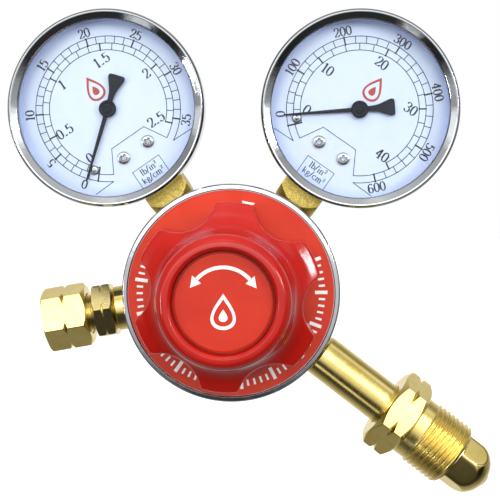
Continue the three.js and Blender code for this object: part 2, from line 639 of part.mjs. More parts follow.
// The pointer's blade runs along its reading, and its paddle tail the other way.
function pointer() {
  const edge = [
    [0.3, POINTER_TIP], [0.7, 2.6], [0.9, -3.4], [1.3, -6.2], [2.2, -8.2], [2.8, 0.6 - POINTER_TAIL],
    [2.4, -POINTER_TAIL],
  ];
  const otherEdge = edge.map(([x, z]) => [-x, z]).reverse();
  const back = DIAL_FRONT_Y - 0.7;
  return plate(polygon([...edge, ...otherEdge]), back - 0.2, 0.4)
    .add(bar(HUB_R, back, back - 1.2, 16))
    .subtract(bar(1.1, back + 1, back - 0.8, TINY))
    .rotate([0, 180 + POINTER_REST, 0]);
}

function dialScrew([x, z]) {
  const head = turned([
    [0, DIAL_FRONT_Y - GAP], [2.1, DIAL_FRONT_Y - GAP], [2, DIAL_FRONT_Y - 0.7],
    [1.4, DIAL_FRONT_Y - 0.95], [0, DIAL_FRONT_Y - 0.95],
  ], 16);
  const shank = bar(0.75, -21.4, DIAL_FRONT_Y - 0.5, 10);
  return head.add(shank).translate([x, 0, z]);
}

// A shouldered pin that the pointer rests against.
function stopPin() {
  const [x, z] = onDial(PIN_ANGLE, PIN_R);
  return turned([
    [0, -23.6], [0.6, -23.6], [0.6, DIAL_FRONT_Y - GAP], [1.6, DIAL_FRONT_Y - GAP],
    [1.2, DIAL_FRONT_Y - 0.6], [0.5, DIAL_FRONT_Y - 0.6], [0.5, DIAL_FRONT_Y - 1.7], [0, DIAL_FRONT_Y - 1.7],
  ], SMALL).translate([x, 0, z]);
}

function addGauge(prefix, tilt) {
  const arm = new THREE.Group();
  arm.rotation.y = THREE.MathUtils.degToRad(tilt);
  assembly.add(arm);
  const gauge = new THREE.Group();
  gauge.position.z = GAUGE_DISTANCE;
  arm.add(gauge);
  const part = (name, manifold, look) => add(gauge, `${prefix}_${name}`, manifold, look);
  part('gauge_socket', gaugeSocket(), ROUGH_BRASS);
  part('gauge_case', gaugeCase(), CHROME);
  part('gauge_bezel', gaugeBezel(), CHROME);
  part('gauge_window', bar(BEZEL_OPENING_R + 1.6, -27.3, -29.3, ROUND), CLEAR);
  part('dial', gaugeDial(), DIAL_WHITE);
  part('pointer', pointer(), POINTER_BLACK);
  part('pinion_shaft', pinionShaft(), BRASS);
  part('sector_gear', sectorGear(), BRASS);
  part('movement_link', movementLink(), STEEL);
  part('movement_frame', movementFrame(), BRASS);
  part('bourdon_tube', bourdonTube(), BRONZE);
  part('dial_screw_left', dialScrew(PILLARS[1]), STEEL);
  part('dial_screw_right', dialScrew(PILLARS[0]), STEEL);
  part('stop_pin', stopPin(), STEEL);
}

addGauge('outlet', -GAUGE_TILT);
addGauge('inlet', GAUGE_TILT);

export default regulator;
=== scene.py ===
"""Looks of a dial-gauge gas regulator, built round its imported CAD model."""

import json
import math

import bpy
import numpy as np
from mathutils import Matrix, Vector


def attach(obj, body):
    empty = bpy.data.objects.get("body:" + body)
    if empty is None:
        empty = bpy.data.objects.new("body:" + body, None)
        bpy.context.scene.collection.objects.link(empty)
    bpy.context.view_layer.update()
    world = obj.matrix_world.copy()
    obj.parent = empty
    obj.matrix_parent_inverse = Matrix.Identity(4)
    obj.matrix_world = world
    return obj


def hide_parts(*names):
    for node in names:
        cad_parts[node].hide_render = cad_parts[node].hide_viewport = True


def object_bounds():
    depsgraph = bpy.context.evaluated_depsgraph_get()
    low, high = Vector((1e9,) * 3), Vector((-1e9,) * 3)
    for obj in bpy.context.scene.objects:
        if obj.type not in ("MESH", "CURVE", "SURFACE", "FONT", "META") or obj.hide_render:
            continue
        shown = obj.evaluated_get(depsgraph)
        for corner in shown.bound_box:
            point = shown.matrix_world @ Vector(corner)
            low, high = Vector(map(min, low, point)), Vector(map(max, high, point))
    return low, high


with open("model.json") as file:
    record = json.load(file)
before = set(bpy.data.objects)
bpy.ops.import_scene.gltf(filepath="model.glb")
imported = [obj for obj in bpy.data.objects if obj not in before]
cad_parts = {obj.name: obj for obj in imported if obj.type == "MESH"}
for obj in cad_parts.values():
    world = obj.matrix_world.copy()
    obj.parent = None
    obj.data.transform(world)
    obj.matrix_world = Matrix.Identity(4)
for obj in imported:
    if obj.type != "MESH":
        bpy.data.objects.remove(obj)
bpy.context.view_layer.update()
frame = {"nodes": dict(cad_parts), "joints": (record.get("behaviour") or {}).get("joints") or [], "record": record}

MM = 0.001
TAU = 2 * math.pi

# ---- places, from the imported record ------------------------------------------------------
RECORD = frame["record"]
JOINTS = {j["name"]: j for j in frame["joints"]}
MOUNTS = {m["name"]: m for m in RECORD["mounts"]}
AXIS = Vector(JOINTS["knob_turn"]["pos_m"])
REAR_Y = MOUNTS["rear_face"]["pos_m"][1]
FRONT = Vector((0, -1, 0))


def placed(origin, up, out):
    """A frame at origin whose local Z is out and whose local Y is as near up as it can be."""
    z = Vector(out).normalized()
    x = Vector(up).cross(z).normalized()
    y = z.cross(x)
    return Matrix((
        (x.x, y.x, z.x, origin[0]), (x.y, y.y, z.y, origin[1]), (x.z, y.z, z.z, origin[2]), (0, 0, 0, 1),
    ))


def gauge_frame(prefix):
    """The gauge's axis at the body's rear plane: Z to the front, Y outward along the stem."""
    centre = Vector(JOINTS[prefix + "_pointer_swing"]["pos_m"])
    centre.y = REAR_Y
    stem = Vector((centre.x - AXIS.x, 0, centre.z - AXIS.z))
    return placed(centre, stem, FRONT), stem


BODY_FRAME = placed((AXIS.x, REAR_Y, AXIS.z), (0, 0, 1), FRONT)
PORT_ORIGIN = Vector((AXIS.x, MOUNTS["inlet"]["pos_m"][1], AXIS.z))


def port_frame(direction):
    """From the body's axis out along a port: Z outward, X to the front."""
    out = Vector(direction).normalized()
    return placed(PORT_ORIGIN, out.cross(FRONT), out)


INLET_FRAME = port_frame(MOUNTS["inlet"]["axis"])
OUTLET_FRAME = port_frame(JOINTS["outlet_nut_spin"]["axis"])

# ---- node materials ----------------------------------------------------------------------


class Tree:
    """Adds nodes to a node tree with short calls."""

    def __init__(self, tree):
        self.tree = tree

    def add(self, kind, inputs=None, **settings):
        node = self.tree.nodes.new(kind)
        for key, value in settings.items():
            setattr(node, key, value)
        for key, value in (inputs or {}).items():
            self.put(node.inputs[key], value)
        return node

    def put(self, socket, value):
        if isinstance(value, bpy.types.NodeSocket):
            self.tree.links.new(value, socket)
        else:
            socket.default_value = value

    def maths(self, operation, a, b=0.0):
        return self.add("ShaderNodeMath", {0: a, 1: b}, operation=operation).outputs[0]

    def noise(self, vector, scale, detail=2.0, rough=0.5):
        return self.add("ShaderNodeTexNoise", {
            "Vector": vector, "Scale": scale, "Detail": detail, "Roughness": rough,
        }).outputs["Fac"]

    def span(self, value, low, high, to_low=0.0, to_high=1.0, **settings):
        return self.add("ShaderNodeMapRange", {
            "Value": value, "From Min": low, "From Max": high, "To Min": to_low, "To Max": to_high,
        }, **settings).outputs["Result"]

    def mix(self, factor, a, b):
        return self.add("ShaderNodeMix", {0: factor, 6: a, 7: b}, data_type="RGBA").outputs[2]


class Nodes(Tree):
    """One node material. Its coordinates are the piece's own, in millimetres."""

    def __init__(self, name):
        self.material = bpy.data.materials.new(name)
        self.material.use_nodes = True
        super().__init__(self.material.node_tree)
        self.bsdf = self.tree.nodes["Principled BSDF"]
        self.coords = self.add("ShaderNodeTexCoord").outputs["Object"]
        self.mm = self.add(
            "ShaderNodeVectorMath", {0: self.coords, "Scale": 1 / MM}, operation="SCALE").outputs[0]

    def set(self, **inputs):
        for key, value in inputs.items():
            self.put(self.bsdf.inputs[key.replace("_", " ")], value)

    def bump(self, height, distance, strength=1.0, normal=None):
        """A bump whose distance is in millimetres."""
        inputs = {"Height": height, "Distance": distance * MM, "Strength": strength}
        if normal is not None:
            inputs["Normal"] = normal
        return self.add("ShaderNodeBump", inputs).outputs["Normal"]

    def around(self):
        """Distance along a turned surface, height on its axis and radius, all in millimetres."""
        parts = self.add("ShaderNodeSeparateXYZ", {0: self.mm}).outputs
        flat = self.add("ShaderNodeCombineXYZ", {0: parts[0], 1: parts[1]}).outputs[0]
        radius = self.add("ShaderNodeVectorMath", {0: flat}, operation="LENGTH").outputs["Value"]
        return self.maths("ADD", parts[2], radius), parts[2], radius


def colour(r, g, b):
    return (r, g, b, 1.0)


def turned_metal(name, base, dark, rough, lines=0.02, finish_from=None, finish=1.0):
    """Bright turned metal: fine tool lines round the axis, faint patina and handling marks.

    Past the height finish_from, in millimetres, the roughness is multiplied by finish.
    """
    n = Nodes(name)
    along, height, _ = n.around()
    line = n.add("ShaderNodeCombineXYZ", {0: along}).outputs[0]
    fine = n.noise(line, 7.0, 2.0, 0.7)
    wide = n.noise(line, 1.3, 1.0)
    patina = n.noise(n.mm, 0.12, 4.0, 0.6)
    smear = n.noise(n.mm, 0.7, 3.0, 0.6)
    n.set(Base_Color=n.mix(n.span(patina, 0.38, 0.72), base, dark), Metallic=1.0)
    handled = n.span(smear, 0.3, 0.75, rough * 0.8, rough * 1.3)
    roughness = n.maths("ADD", handled, n.span(fine, 0.3, 0.7, -0.02, 0.03))
    if finish_from:
        beyond = n.span(height, finish_from - 0.4, finish_from, 1.0, finish)
        roughness = n.maths("MULTIPLY", roughness, beyond)
    n.set(Roughness=roughness)
    n.set(Normal=n.bump(n.maths("ADD", n.maths("MULTIPLY", fine, 0.6), wide), lines))
    return n.material


def blasted_metal(name, base, dark, rough, grain=3.2, depth=0.05, speckle=0.6):
    """Forged and bead-blasted metal: pitted grain with darker speckles."""
    n = Nodes(name)
    pits = n.noise(n.mm, grain, 3.0, 0.65)
    broad = n.noise(n.mm, 0.25, 3.0, 0.55)
    spots = n.span(pits, 0.42, 0.60, speckle, 0.0)
    tint = n.mix(spots, base, dark)
    n.set(Base_Color=n.mix(n.span(broad, 0.35, 0.75, 0.0, 0.45), tint, dark), Metallic=1.0)
    n.set(Roughness=n.span(pits, 0.3, 0.7, rough * 1.15, rough * 0.85))
    n.set(Normal=n.bump(pits, depth))
    return n.material


def chrome_metal(name, base, rough, lines=0.006):
    """Chrome plate: near mirror, with polishing lines round the axis and light fingerprints."""
    n = Nodes(name)
    along, _, _ = n.around()
    line = n.add("ShaderNodeCombineXYZ", {0: along}).outputs[0]
    fine = n.noise(line, 5.0, 2.0, 0.7)
    waves = n.noise(n.mm, 0.35, 2.0)
    smear = n.noise(n.mm, 0.5, 4.0, 0.65)
    dull = colour(*[0.95 * c for c in base[:3]])
    n.set(Base_Color=n.mix(n.span(smear, 0.45, 0.8), base, dull), Metallic=1.0)
    n.set(Roughness=n.span(smear, 0.35, 0.75, rough * 0.75, rough * 1.35))
    first = n.bump(waves, 0.12, 0.35)
    n.set(Normal=n.bump(fine, lines, 1.0, first))
    return n.material


def plastic(name, base, deep, rough, peel=0.03, gloss=0.3):
    """Moulded gloss plastic: slight flow marks, orange peel and fine scuffs."""
    n = Nodes(name)
    flow = n.noise(n.mm, 0.10, 3.0, 0.5)
    skin = n.noise(n.mm, 1.1, 2.0, 0.5)
    scuff = n.noise(n.mm, 5.0, 4.0, 0.75)
    n.set(Base_Color=n.mix(n.span(flow, 0.35, 0.7), base, deep))
    n.set(Roughness=n.span(scuff, 0.5, 0.8, rough, rough + 0.12))
    n.set(Normal=n.bump(skin, peel), Specular_IOR_Level=gloss)
    return n.material


def ink(name, base, rough=0.5):
    """Printed ink: a little uneven in density."""
    n = Nodes(name)
    wear = n.noise(n.mm, 2.2, 3.0, 0.6)
    faded = colour(*[c * 0.86 + 0.01 for c in base[:3]])
    n.set(Base_Color=n.mix(n.span(wear, 0.45, 0.75), base, faded), Roughness=rough)
    n.set(Normal=n.bump(wear, 0.01))
    return n.material


def enamel(name, base, shade):
    """Printed dial enamel: matt, with a trace of mottling, and painted shade that darkens its outer rim as if the
    bezel shadowed it.
    """
    n = Nodes(name)
    _, _, radius = n.around()
    mottle = n.noise(n.mm, 0.3, 3.0, 0.6)
    # Painted shade: near the bezel the enamel is mixed towards the shade colour, standing in for the bezel's
    # shadow on the dial.
    rim = n.span(radius, 25.5, 28.8)
    tint = n.mix(n.maths("MULTIPLY", rim, 0.9), base, shade)
    n.set(Base_Color=n.mix(n.span(mottle, 0.45, 0.8, 0.0, 0.25), tint, shade), Roughness=0.42)
    n.set(Normal=n.bump(n.noise(n.mm, 3.0, 2.0), 0.01))
    return n.material


def clear_window(name):
    """A clear pane: light passes straight on, with a faint gloss."""
    n = Nodes(name)
    smear = n.noise(n.mm, 0.4, 3.0, 0.6)
    gloss = n.add("ShaderNodeBsdfGlossy", {"Roughness": n.span(smear, 0.3, 0.8, 0.01, 0.05)})
    through = n.add("ShaderNodeBsdfTransparent", {"Color": colour(0.97, 0.985, 1.0)})
    fresnel = n.add("ShaderNodeFresnel", {"IOR": 1.18})
    both = n.add("ShaderNodeMixShader", {
        0: n.maths("MULTIPLY", fresnel.outputs[0], 0.7), 1: through.outputs[0], 2: gloss.outputs[0],
    })
    n.put(n.tree.nodes["Material Output"].inputs["Surface"], both.outputs[0])
    n.tree.nodes.remove(n.bsdf)
    return n.material


BRASS = colour(0.84, 0.67, 0.23)
BRASS_DARK = colour(0.74, 0.56, 0.16)
M = {
    "brass": turned_metal("turned_brass", BRASS, BRASS_DARK, 0.17, 0.008),
    "brass_nut": turned_metal("milled_brass", BRASS, BRASS_DARK, 0.19, 0.006, 74.6, 1.35),
    "brass_nipple": turned_metal("polished_brass", BRASS, BRASS_DARK, 0.17, 0.006, 92.0, 0.28),
    "brass_hex": blasted_metal(
        "speckled_brass", colour(0.86, 0.72, 0.32), colour(0.66, 0.52, 0.20), 0.22, 3.0, 0.02, 0.5),
    "forged": blasted_metal(
        "blasted_brass", colour(0.80, 0.62, 0.17), colour(0.40, 0.29, 0.06), 0.42, 1.9, 0.08, 0.75),
    "chrome": chrome_metal("chrome_plate", colour(0.47, 0.49, 0.51), 0.10),
    "steel": turned_metal(
        "plated_steel", colour(0.50, 0.50, 0.47), colour(0.34, 0.33, 0.30), 0.22, 0.01),
    "bronze": blasted_metal(
        "phosphor_bronze", colour(0.55, 0.38, 0.20), colour(0.35, 0.22, 0.10), 0.4, 1.5, 0.02, 0.3),
    "rubber": plastic("black_rubber", colour(0.028, 0.028, 0.03), colour(0.04, 0.04, 0.04), 0.7, 0.06),
    "knob": plastic(
        "red_knob", colour(0.42, 0.011, 0.006), colour(0.36, 0.008, 0.005), 0.13, 0.02, 0.34),
    "cap": plastic(
        "red_cap", colour(0.50, 0.027, 0.009), colour(0.45, 0.021, 0.008), 0.28, 0.012, 0.25),
    "label": plastic(
        "red_label", colour(0.58, 0.040, 0.015), colour(0.53, 0.030, 0.012), 0.16, 0.012, 0.25),
    "white_ink": ink("white_ink", colour(0.90, 0.88, 0.86), 0.35),
    "black_ink": ink("black_ink", colour(0.020, 0.024, 0.032)),
    "orange_ink": ink("orange_ink", colour(0.46, 0.055, 0.035)),
    "pointer": plastic(
        "black_pointer", colour(0.012, 0.014, 0.018), colour(0.016, 0.018, 0.024), 0.42, 0.02, 0.22),
    "dial": enamel("dial_enamel", colour(0.66, 0.73, 0.86), colour(0.50, 0.57, 0.80)),
    "window": clear_window("clear_window"),
}

# ---- meshes ------------------------------------------------------------------------------


def skin(rows, loop=False):
    """Vertices and faces of rows of points round an axis. A row of one point is a pole."""
    starts = np.cumsum([0] + [len(row) for row in rows]).tolist()
    faces = []
    for i in range(len(rows) if loop else len(rows) - 1):
        j = (i + 1) % len(rows)
        a, b, sa, sb = len(rows[i]), len(rows[j]), starts[i], starts[j]
        n = max(a, b)
        for k in range(n):
            m = (k + 1) % n
            if a == 1:
                faces.append((sa, sb + m, sb + k))
            elif b == 1:
                faces.append((sa + k, sa + m, sb))
            else:
                faces.append((sa + k, sa + m, sb + m, sb + k))
    return np.concatenate(rows), faces


def volume(points, faces):
    """Six times the signed volume of a closed shell."""
    corners = np.array([(f[0], f[k], f[k + 1]) for f in faces for k in range(1, len(f) - 1)])
    a, b, c = (points[corners[:, i]] for i in range(3))
    return float(np.einsum("ij,ij->i", a, np.cross(b, c)).sum())


class Shape:
    """Closed shells gathered into one mesh, in millimetres in a local frame."""

    def __init__(self):
        self.points, self.faces, self.count = [], [], 0

    def add(self, points, faces):
        points = np.asarray(points, float)
        if volume(points, faces) < 0:
            faces = [tuple(reversed(f)) for f in faces]
        self.faces += [tuple(i + self.count for i in f) for f in faces]
        self.points.append(points)
        self.count += len(points)
        return self

    def prism(self, outline, low, high):
        """A plate of an outline in X and Y between two heights."""
        n = len(outline)
        points = [(x, y, low) for x, y in outline] + [(x, y, high) for x, y in outline]
        sides = [(i, (i + 1) % n, n + (i + 1) % n, n + i) for i in range(n)]
        return self.add(points, [tuple(reversed(range(n))), tuple(range(n, 2 * n)), *sides])

    def strip(self, left, right, low, high, loop=False):
        """A flat band between two edges, as a closed solid."""
        n = len(left)
        rows = [np.array([(*a, low), (*b, low), (*b, high), (*a, high)]) for a, b in zip(left, right)]
        points, faces = skin(rows, loop)
        if not loop:
            faces += [(3, 2, 1, 0), tuple(4 * n - 4 + k for k in range(4))]
        return self.add(points, faces)


def linked_object(name, data):
    obj = bpy.data.objects.new(name, data)
    bpy.context.scene.collection.objects.link(obj)
    return obj


def mesh_object(name, shape):
    """An object of a Shape, scaled to metres."""
    mesh = bpy.data.meshes.new(name)
    mesh.from_pydata((np.concatenate(shape.points) * MM).tolist(), [], shape.faces)
    return linked_object(name, mesh)


def piece(name, shape, matrix, material, body, slot, replaces=(), smooth=True, weighted=True):
    obj = mesh_object(name, shape)
    obj.data.polygons.foreach_set("use_smooth", [smooth] * len(obj.data.polygons))
    obj.data.materials.append(M[material])
    obj.matrix_world = matrix
    if smooth and weighted:
        modifier = obj.modifiers.new("even_shading", "WEIGHTED_NORMAL")
        modifier.weight = 90
    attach(obj, body)
    if replaces:
        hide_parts(*replaces)


def rounded(profile, radius=0.25, steps=4, loop=False):
    """A profile with each corner eased. A third number on a point is its own radius."""
    count = len(profile)
    out = []
    for i, p in enumerate(profile):
        here = np.array(p[:2], float)
        r = p[2] if len(p) > 2 else radius
        if (not loop and i in (0, count - 1)) or r == 0:
            out.append(here)
            continue
        before = np.array(profile[i - 1][:2], float) - here
        after = np.array(profile[(i + 1) % count][:2], float) - here
        lb, la = np.linalg.norm(before), np.linalg.norm(after)
        cosine = float(np.clip(np.dot(before, after) / (lb * la), -1, 1))
        half = math.acos(cosine) / 2
        reach = min(r / max(math.tan(half), 0.05), 0.48 * lb, 0.48 * la)
        a, b = here + before / lb * reach, here + after / la * reach
        for k in range(steps + 1):
            t = k / steps
            out.append((1 - t) ** 2 * a + 2 * t * (1 - t) * here + t * t * b)
    return out


def dense(profile, step, loop=False):
    """The same profile with points no further apart than a step."""
    out = []
    for a, b in zip(profile, profile[1:] + (profile[:1] if loop else [])):
        a, b = np.asarray(a, float), np.asarray(b, float)
        count = max(1, math.ceil(float(np.linalg.norm(b - a)) / step))
        out += [a + (b - a) * k / count for k in range(count)]
    if not loop:
        out.append(np.asarray(profile[-1], float))
    return out


def even_angles(count):
    return np.arange(count) * TAU / count


def cornered_angles(sides, turn, per_side):
    """Angles that crowd towards the corners of a polygon whose first flat is centred on turn."""
    steps = (np.arange(per_side) + 0.5) / per_side * 2 - 1
    offsets = (math.pi / sides) * np.sin(steps * math.pi / 2)
    return np.concatenate([turn + k * TAU / sides + offsets for k in range(sides)])


def flats(angles, across, sides, turn):
    """Distance from the axis to the flats of a polygon."""
    step = TAU / sides
    local = (angles - turn + step / 2) % step - step / 2
    return across / 2 / np.cos(local)


def eased_min(first, second, sharpness=9.0):
    """The smaller of two distances, with the corner between them slightly rounded."""
    low = np.minimum(first, second)
    return low - np.log1p(np.exp(-sharpness * np.abs(first - second))) / sharpness


def turned(profile, angles=None, shape_of=None, loop=False, into=None):
    """A turned form about local Z. shape_of(radii, z, angles) may take it out of round."""
    angles = even_angles(128) if angles is None else angles
    rows = []
    for r, z in profile:
        if r < 1e-6:
            rows.append(np.array([(0.0, 0.0, z)]))
            continue
        radii = np.full(len(angles), float(r))
        if shape_of:
            radii = shape_of(radii, z, angles)
        rows.append(np.stack([radii * np.cos(angles), radii * np.sin(angles), np.full(len(angles), z)], 1))
    points, faces = skin(rows, loop)
    return (into or Shape()).add(points, faces)


def arc(radius, start, end, count):
    """Points of an arc; angles in degrees clockwise from straight down."""
    a = np.radians(np.linspace(start, end, count))
    return np.stack([-radius * np.sin(a), -radius * np.cos(a)], 1)


# ---- body and bonnet ---------------------------------------------------------------------
BONNET_R = 35.0
FLANGE_R = 33.1
LABEL_R = 33.0
TOWER_R = 16.5
PORT_BOSS_R, OUTLET_BOSS_R = 8.3, 8.6
LABEL_LOW, LABEL_TOP = 35.5, 36.0
MARK_SINK = 0.05
LABEL_MARK, KNOB_MARK = 0.06, 0.08


def bar_points(radius, low, high, matrix):
    """A round bar about a frame's Z, given in the body's own frame."""
    a = even_angles(64)
    ends = [np.stack([radius * np.cos(a), radius * np.sin(a), np.full(len(a), z)], 1) for z in (low, high)]
    points, faces = skin([np.array([(0, 0, low)]), *ends, np.array([(0, 0, high)])])
    to_body = BODY_FRAME.inverted() @ matrix
    moved = [tuple(to_body.to_3x3() @ Vector(p) + to_body.translation / MM) for p in points]
    return moved, faces


def melted(shape, voxel, passes):
    """One skin round overlapping shells, with the joins between them filleted."""
    source = mesh_object("melt", shape)
    remesh = source.modifiers.new("skin", "REMESH")
    remesh.mode = "VOXEL"
    remesh.voxel_size = voxel * MM
    smooth = source.modifiers.new("fillet", "SMOOTH")
    smooth.iterations = passes
    smooth.factor = 0.5
    bpy.context.view_layer.update()
    made = bpy.data.meshes.new_from_object(source.evaluated_get(bpy.context.evaluated_depsgraph_get()))
    points = np.array([v.co for v in made.vertices]) / MM
    faces = [tuple(p.vertices) for p in made.polygons]
    bpy.data.objects.remove(source)
    return Shape().add(points, faces)


GAUGES = {p: gauge_frame(p) for p in ("outlet", "inlet")}
STEM_FRAMES = {p: port_frame(stem) for p, (_, stem) in GAUGES.items()}

forging = turned(rounded([
    (0, 6), (8.3, 6), (8.3, 0), (18, 0), (19, 1), (19, 4), (24.5, 5), (25.5, 6), (25.5, 21.5),
    (FLANGE_R, 21.5), (FLANGE_R, 28.3), (0, 28.3),
], 0.3))
for matrix in (*STEM_FRAMES.values(), INLET_FRAME):
    forging.add(*bar_points(PORT_BOSS_R, 18, 33.1, matrix))
forging.add(*bar_points(OUTLET_BOSS_R, 16, 31.5, OUTLET_FRAME))
piece("body_forging", melted(forging, 0.5, 7), BODY_FRAME, "forged", "regulator", "forged_brass",
      ["regulator_body"], weighted=False)
piece("outlet_boss", turned(rounded([
    (0, 24), (7.5, 24), (7.5, 40.0), (6.9, 40.8), (5.7, 40.8), (5.7, 30), (0, 30),
], 0.25)), OUTLET_FRAME, "brass", "regulator", "brass")

piece("bonnet_shell", turned(rounded([
    (33.4, 20.6), (34.5, 20.6, 0.4), (BONNET_R, 21.4, 0.4), (BONNET_R, 24.2, 0.3), (34.75, 24.6, 0.3),
    (34.75, 25.4, 0.3), (BONNET_R, 25.8, 0.3), (BONNET_R, 35.6, 0.3), (34.6, 36.2, 0.35), (33.45, 36.4, 0.12),
    (33.25, 36.0, 0.1), (33.3, 35.7, 0.05), (33.3, 35.2, 0.1), (TOWER_R, 35.2, 0.2), (TOWER_R, 60.5, 0.4),
    (15, 62, 0.4), (5.3, 62), (5.3, 58), (13.2, 58), (13.2, 34), (21.5, 31.1), (28, 31.1), (28, 28.6),
    (33.4, 28.6),
], 0.15, loop=True), even_angles(192), loop=True), BODY_FRAME, "chrome", "regulator", "chrome", ["bonnet"])

piece("label_ring", turned(rounded([
    (17.1, LABEL_LOW), (LABEL_R, LABEL_LOW), (LABEL_R, LABEL_TOP, 0.15), (17.1, LABEL_TOP, 0.15),
], 0.05, loop=True), even_angles(192), loop=True), BODY_FRAME, "label", "regulator", "label_red",
      ["bonnet_label"])

# Marks on the label: a graduated band round its lower part and an index at the top.
TICKS, FIRST_TICK, TICK_STEP, TICKS_A_GROUP = 54, -112, 4.2, 5
marks = Shape()
for k in range(TICKS):
    a = math.radians(FIRST_TICK + TICK_STEP * k)
    inner, outer, half = (26.9, 30.9, 0.55) if k % TICKS_A_GROUP == 0 else (28.2, 30.2, 0.34)
    d, s = np.array((-math.sin(a), -math.cos(a))), np.array((math.cos(a), -math.sin(a))) * half
    marks.prism([inner * d - s, inner * d + s, outer * d + s, outer * d - s],
                LABEL_TOP - MARK_SINK, LABEL_TOP + LABEL_MARK)
marks.prism([(3.4, 29.6), (7.6, 28.8), (5.1, 26.4)], LABEL_TOP - MARK_SINK, LABEL_TOP + LABEL_MARK)
piece("label_marks", marks, BODY_FRAME, "white_ink", "regulator", "dial", smooth=False)

# ---- knob --------------------------------------------------------------------------------
LOBES, LOBE_R, LOBE_CORNER = 6, 29.2, 2.0
LOBE_TURN = math.radians(4.5)
SCALLOP_R, SCALLOP_ARC_R = 23.3, 11.8
CORE_R, HOLLOW_R, EDGE_R = 20.3, 19.5, 0.7
FACE = 75.7


def lobe_outline(angles):
    """The knob's radius by angle: lobe tips on a circle with round scallops between them."""
    step = TAU / LOBES
    centre = SCALLOP_R + SCALLOP_ARC_R
    off = angles % step - step / 2
    reach = SCALLOP_ARC_R**2 - (centre * np.sin(off)) ** 2
    clear = LOBE_R + 9
    scallop = np.where(reach > 0, centre * np.cos(off) - np.sqrt(np.maximum(reach, 0)), clear)
    share = np.clip(0.5 + (scallop - LOBE_R) / (2 * LOBE_CORNER), 0, 1)
    return scallop + (LOBE_R - scallop) * share - LOBE_CORNER * share * (1 - share)


def knob_shape():
    """A turned crown over a flared skirt, which upright scallops cut into lobes."""
    crown = rounded([
        (0, 74.6), (15.1, 74.6, 0.15), (15.5, 77.3, 0.5), (16.3, 78, 0.7), (18.3, 77.8, 3.0),
        (20.0, 75.3, 4.0), (CORE_R, 68),
    ], steps=10)
    skirt = np.array(rounded([
        (CORE_R, 68), (21.0, 63.6, 9), (22.6, 60.6, 9), (25.4, 58.0, 9), (LOBE_R, 56.0),
    ], steps=12))
    under = rounded([
        (LOBE_R, 44.6), (27.8, 42.4, 0.5), (HOLLOW_R, 42.4, 0.3), (19.1, 67, 0.3), (5.3, 67, 0.2),
        (5.3, 72.6, 0.2), (0, 72.6),
    ])
    angles = even_angles(480)
    outline = lobe_outline(angles)
    around = math.pi / 2 - LOBE_TURN - angles

    def ring(radii, z):
        return np.stack([radii * np.cos(around), radii * np.sin(around), np.broadcast_to(z, radii.shape)], 1)

    rows = [np.array([(0.0, 0.0, crown[0][1])])]
    rows += [ring(np.full(len(angles), r), z) for r, z in dense(crown, 0.8)[1:]]
    # Out along the skirt, then over its rounded edge, each row with how far it lies below the skirt.
    inset = [(CORE_R + (outline - EDGE_R - CORE_R) * t, 0) for t in np.linspace(0, 1, 20)[1:]]
    inset += [(outline - EDGE_R * (1 - t), EDGE_R * (1 - math.sqrt(1 - t * t)))
              for t in np.sin(np.linspace(0, math.pi / 2, 7))[1:]]
    for radii, below in inset:
        rows.append(ring(radii, np.interp(radii, skirt[:, 0], skirt[:, 1]) - below))
    spread = (outline - HOLLOW_R) / (LOBE_R - HOLLOW_R)
    for r, z in dense(under, 1.5)[:-1]:
        rows.append(ring(min(r, HOLLOW_R) + max(r - HOLLOW_R, 0) * spread, z))
    rows.append(np.array([(0.0, 0.0, under[-1][1])]))
    return Shape().add(*skin(rows))


piece("knob_grip", knob_shape(), BODY_FRAME, "knob", "knob", "knob_red", ["adjusting_knob"], weighted=False)
piece("knob_face", turned(rounded([
    (0, 74.9), (14.7, 74.9), (14.7, FACE - 0.25, 0.25), (14.0, FACE, 0.3), (0, FACE),
], 0.1)), BODY_FRAME, "cap", "knob", "knob_red", ["knob_cap"])


def drop(y_middle, width, height, count=40):
    """The outline of a drop on the Y axis: round below and drawn to a point above."""
    t = np.linspace(0, TAU, count, endpoint=False)
    x = 0.5 * width * np.sin(t) * np.sin(t / 2) ** 1.3 * 1.18
    return list(zip(x, y_middle + 0.5 * height * np.cos(t)))


def emblem(shape, outer, inner, core, core_y, low, high):
    """A drop-shaped ring round a small copy of its inner edge, core times as big, about core_y."""
    shape.strip(outer, inner, low, high, loop=True)
    return shape.prism([(x * core, (y - core_y) * core + core_y) for x, y in inner], low, high)


def dial_point(angle, r):
    """A point at an angle in degrees clockwise from straight down."""
    a = math.radians(angle)
    return (-r * math.sin(a), -r * math.cos(a))


knob_mark = (FACE - MARK_SINK, FACE + KNOB_MARK)
arrow = Shape()
arrow.strip(arc(10.85, 130, 230, 40), arc(9.8, 130, 230, 40), *knob_mark)
for side in (-1, 1):
    base, tip = 180 + side * 49, 180 + side * 66
    arrow.prism([dial_point(base, 12.0), dial_point(base, 8.6), dial_point(tip, 10.6)], *knob_mark)
emblem(arrow, drop(-2.6, 8.6, 10.6), drop(-2.9, 6.6, 8.0), 0.45, -4.4, *knob_mark)
piece("knob_marks", arrow, BODY_FRAME, "white_ink", "knob", "dial", smooth=False)

# ---- threads and nuts --------------------------------------------------------------------


def thread(z, angles, start, end, major, depth, pitch):
    """Radius of a left-hand thread that fades out at both ends."""
    phase = (z / pitch + angles / TAU) % 1
    ridge = np.clip((1 - np.abs(2 * phase - 1)) * 1.35 - 0.12, 0, 1)
    fade = min(1.0, max(0.0, (z - start) / (0.6 * pitch)), max(0.0, (end - z) / (0.3 * pitch)))
    return major - depth * (1 - ridge * fade)


def hexagon(across, low, high, back, front):
    """A hexagon's profile between two heights. Each chamfer is how far in and how far along it is."""
    corner = across / math.sqrt(3)
    return [(corner - back[0], low, 0.1), (corner + 0.1, low + back[1]),
            (corner + 0.1, high - front[1]), (corner - front[0], high, 0.1)]


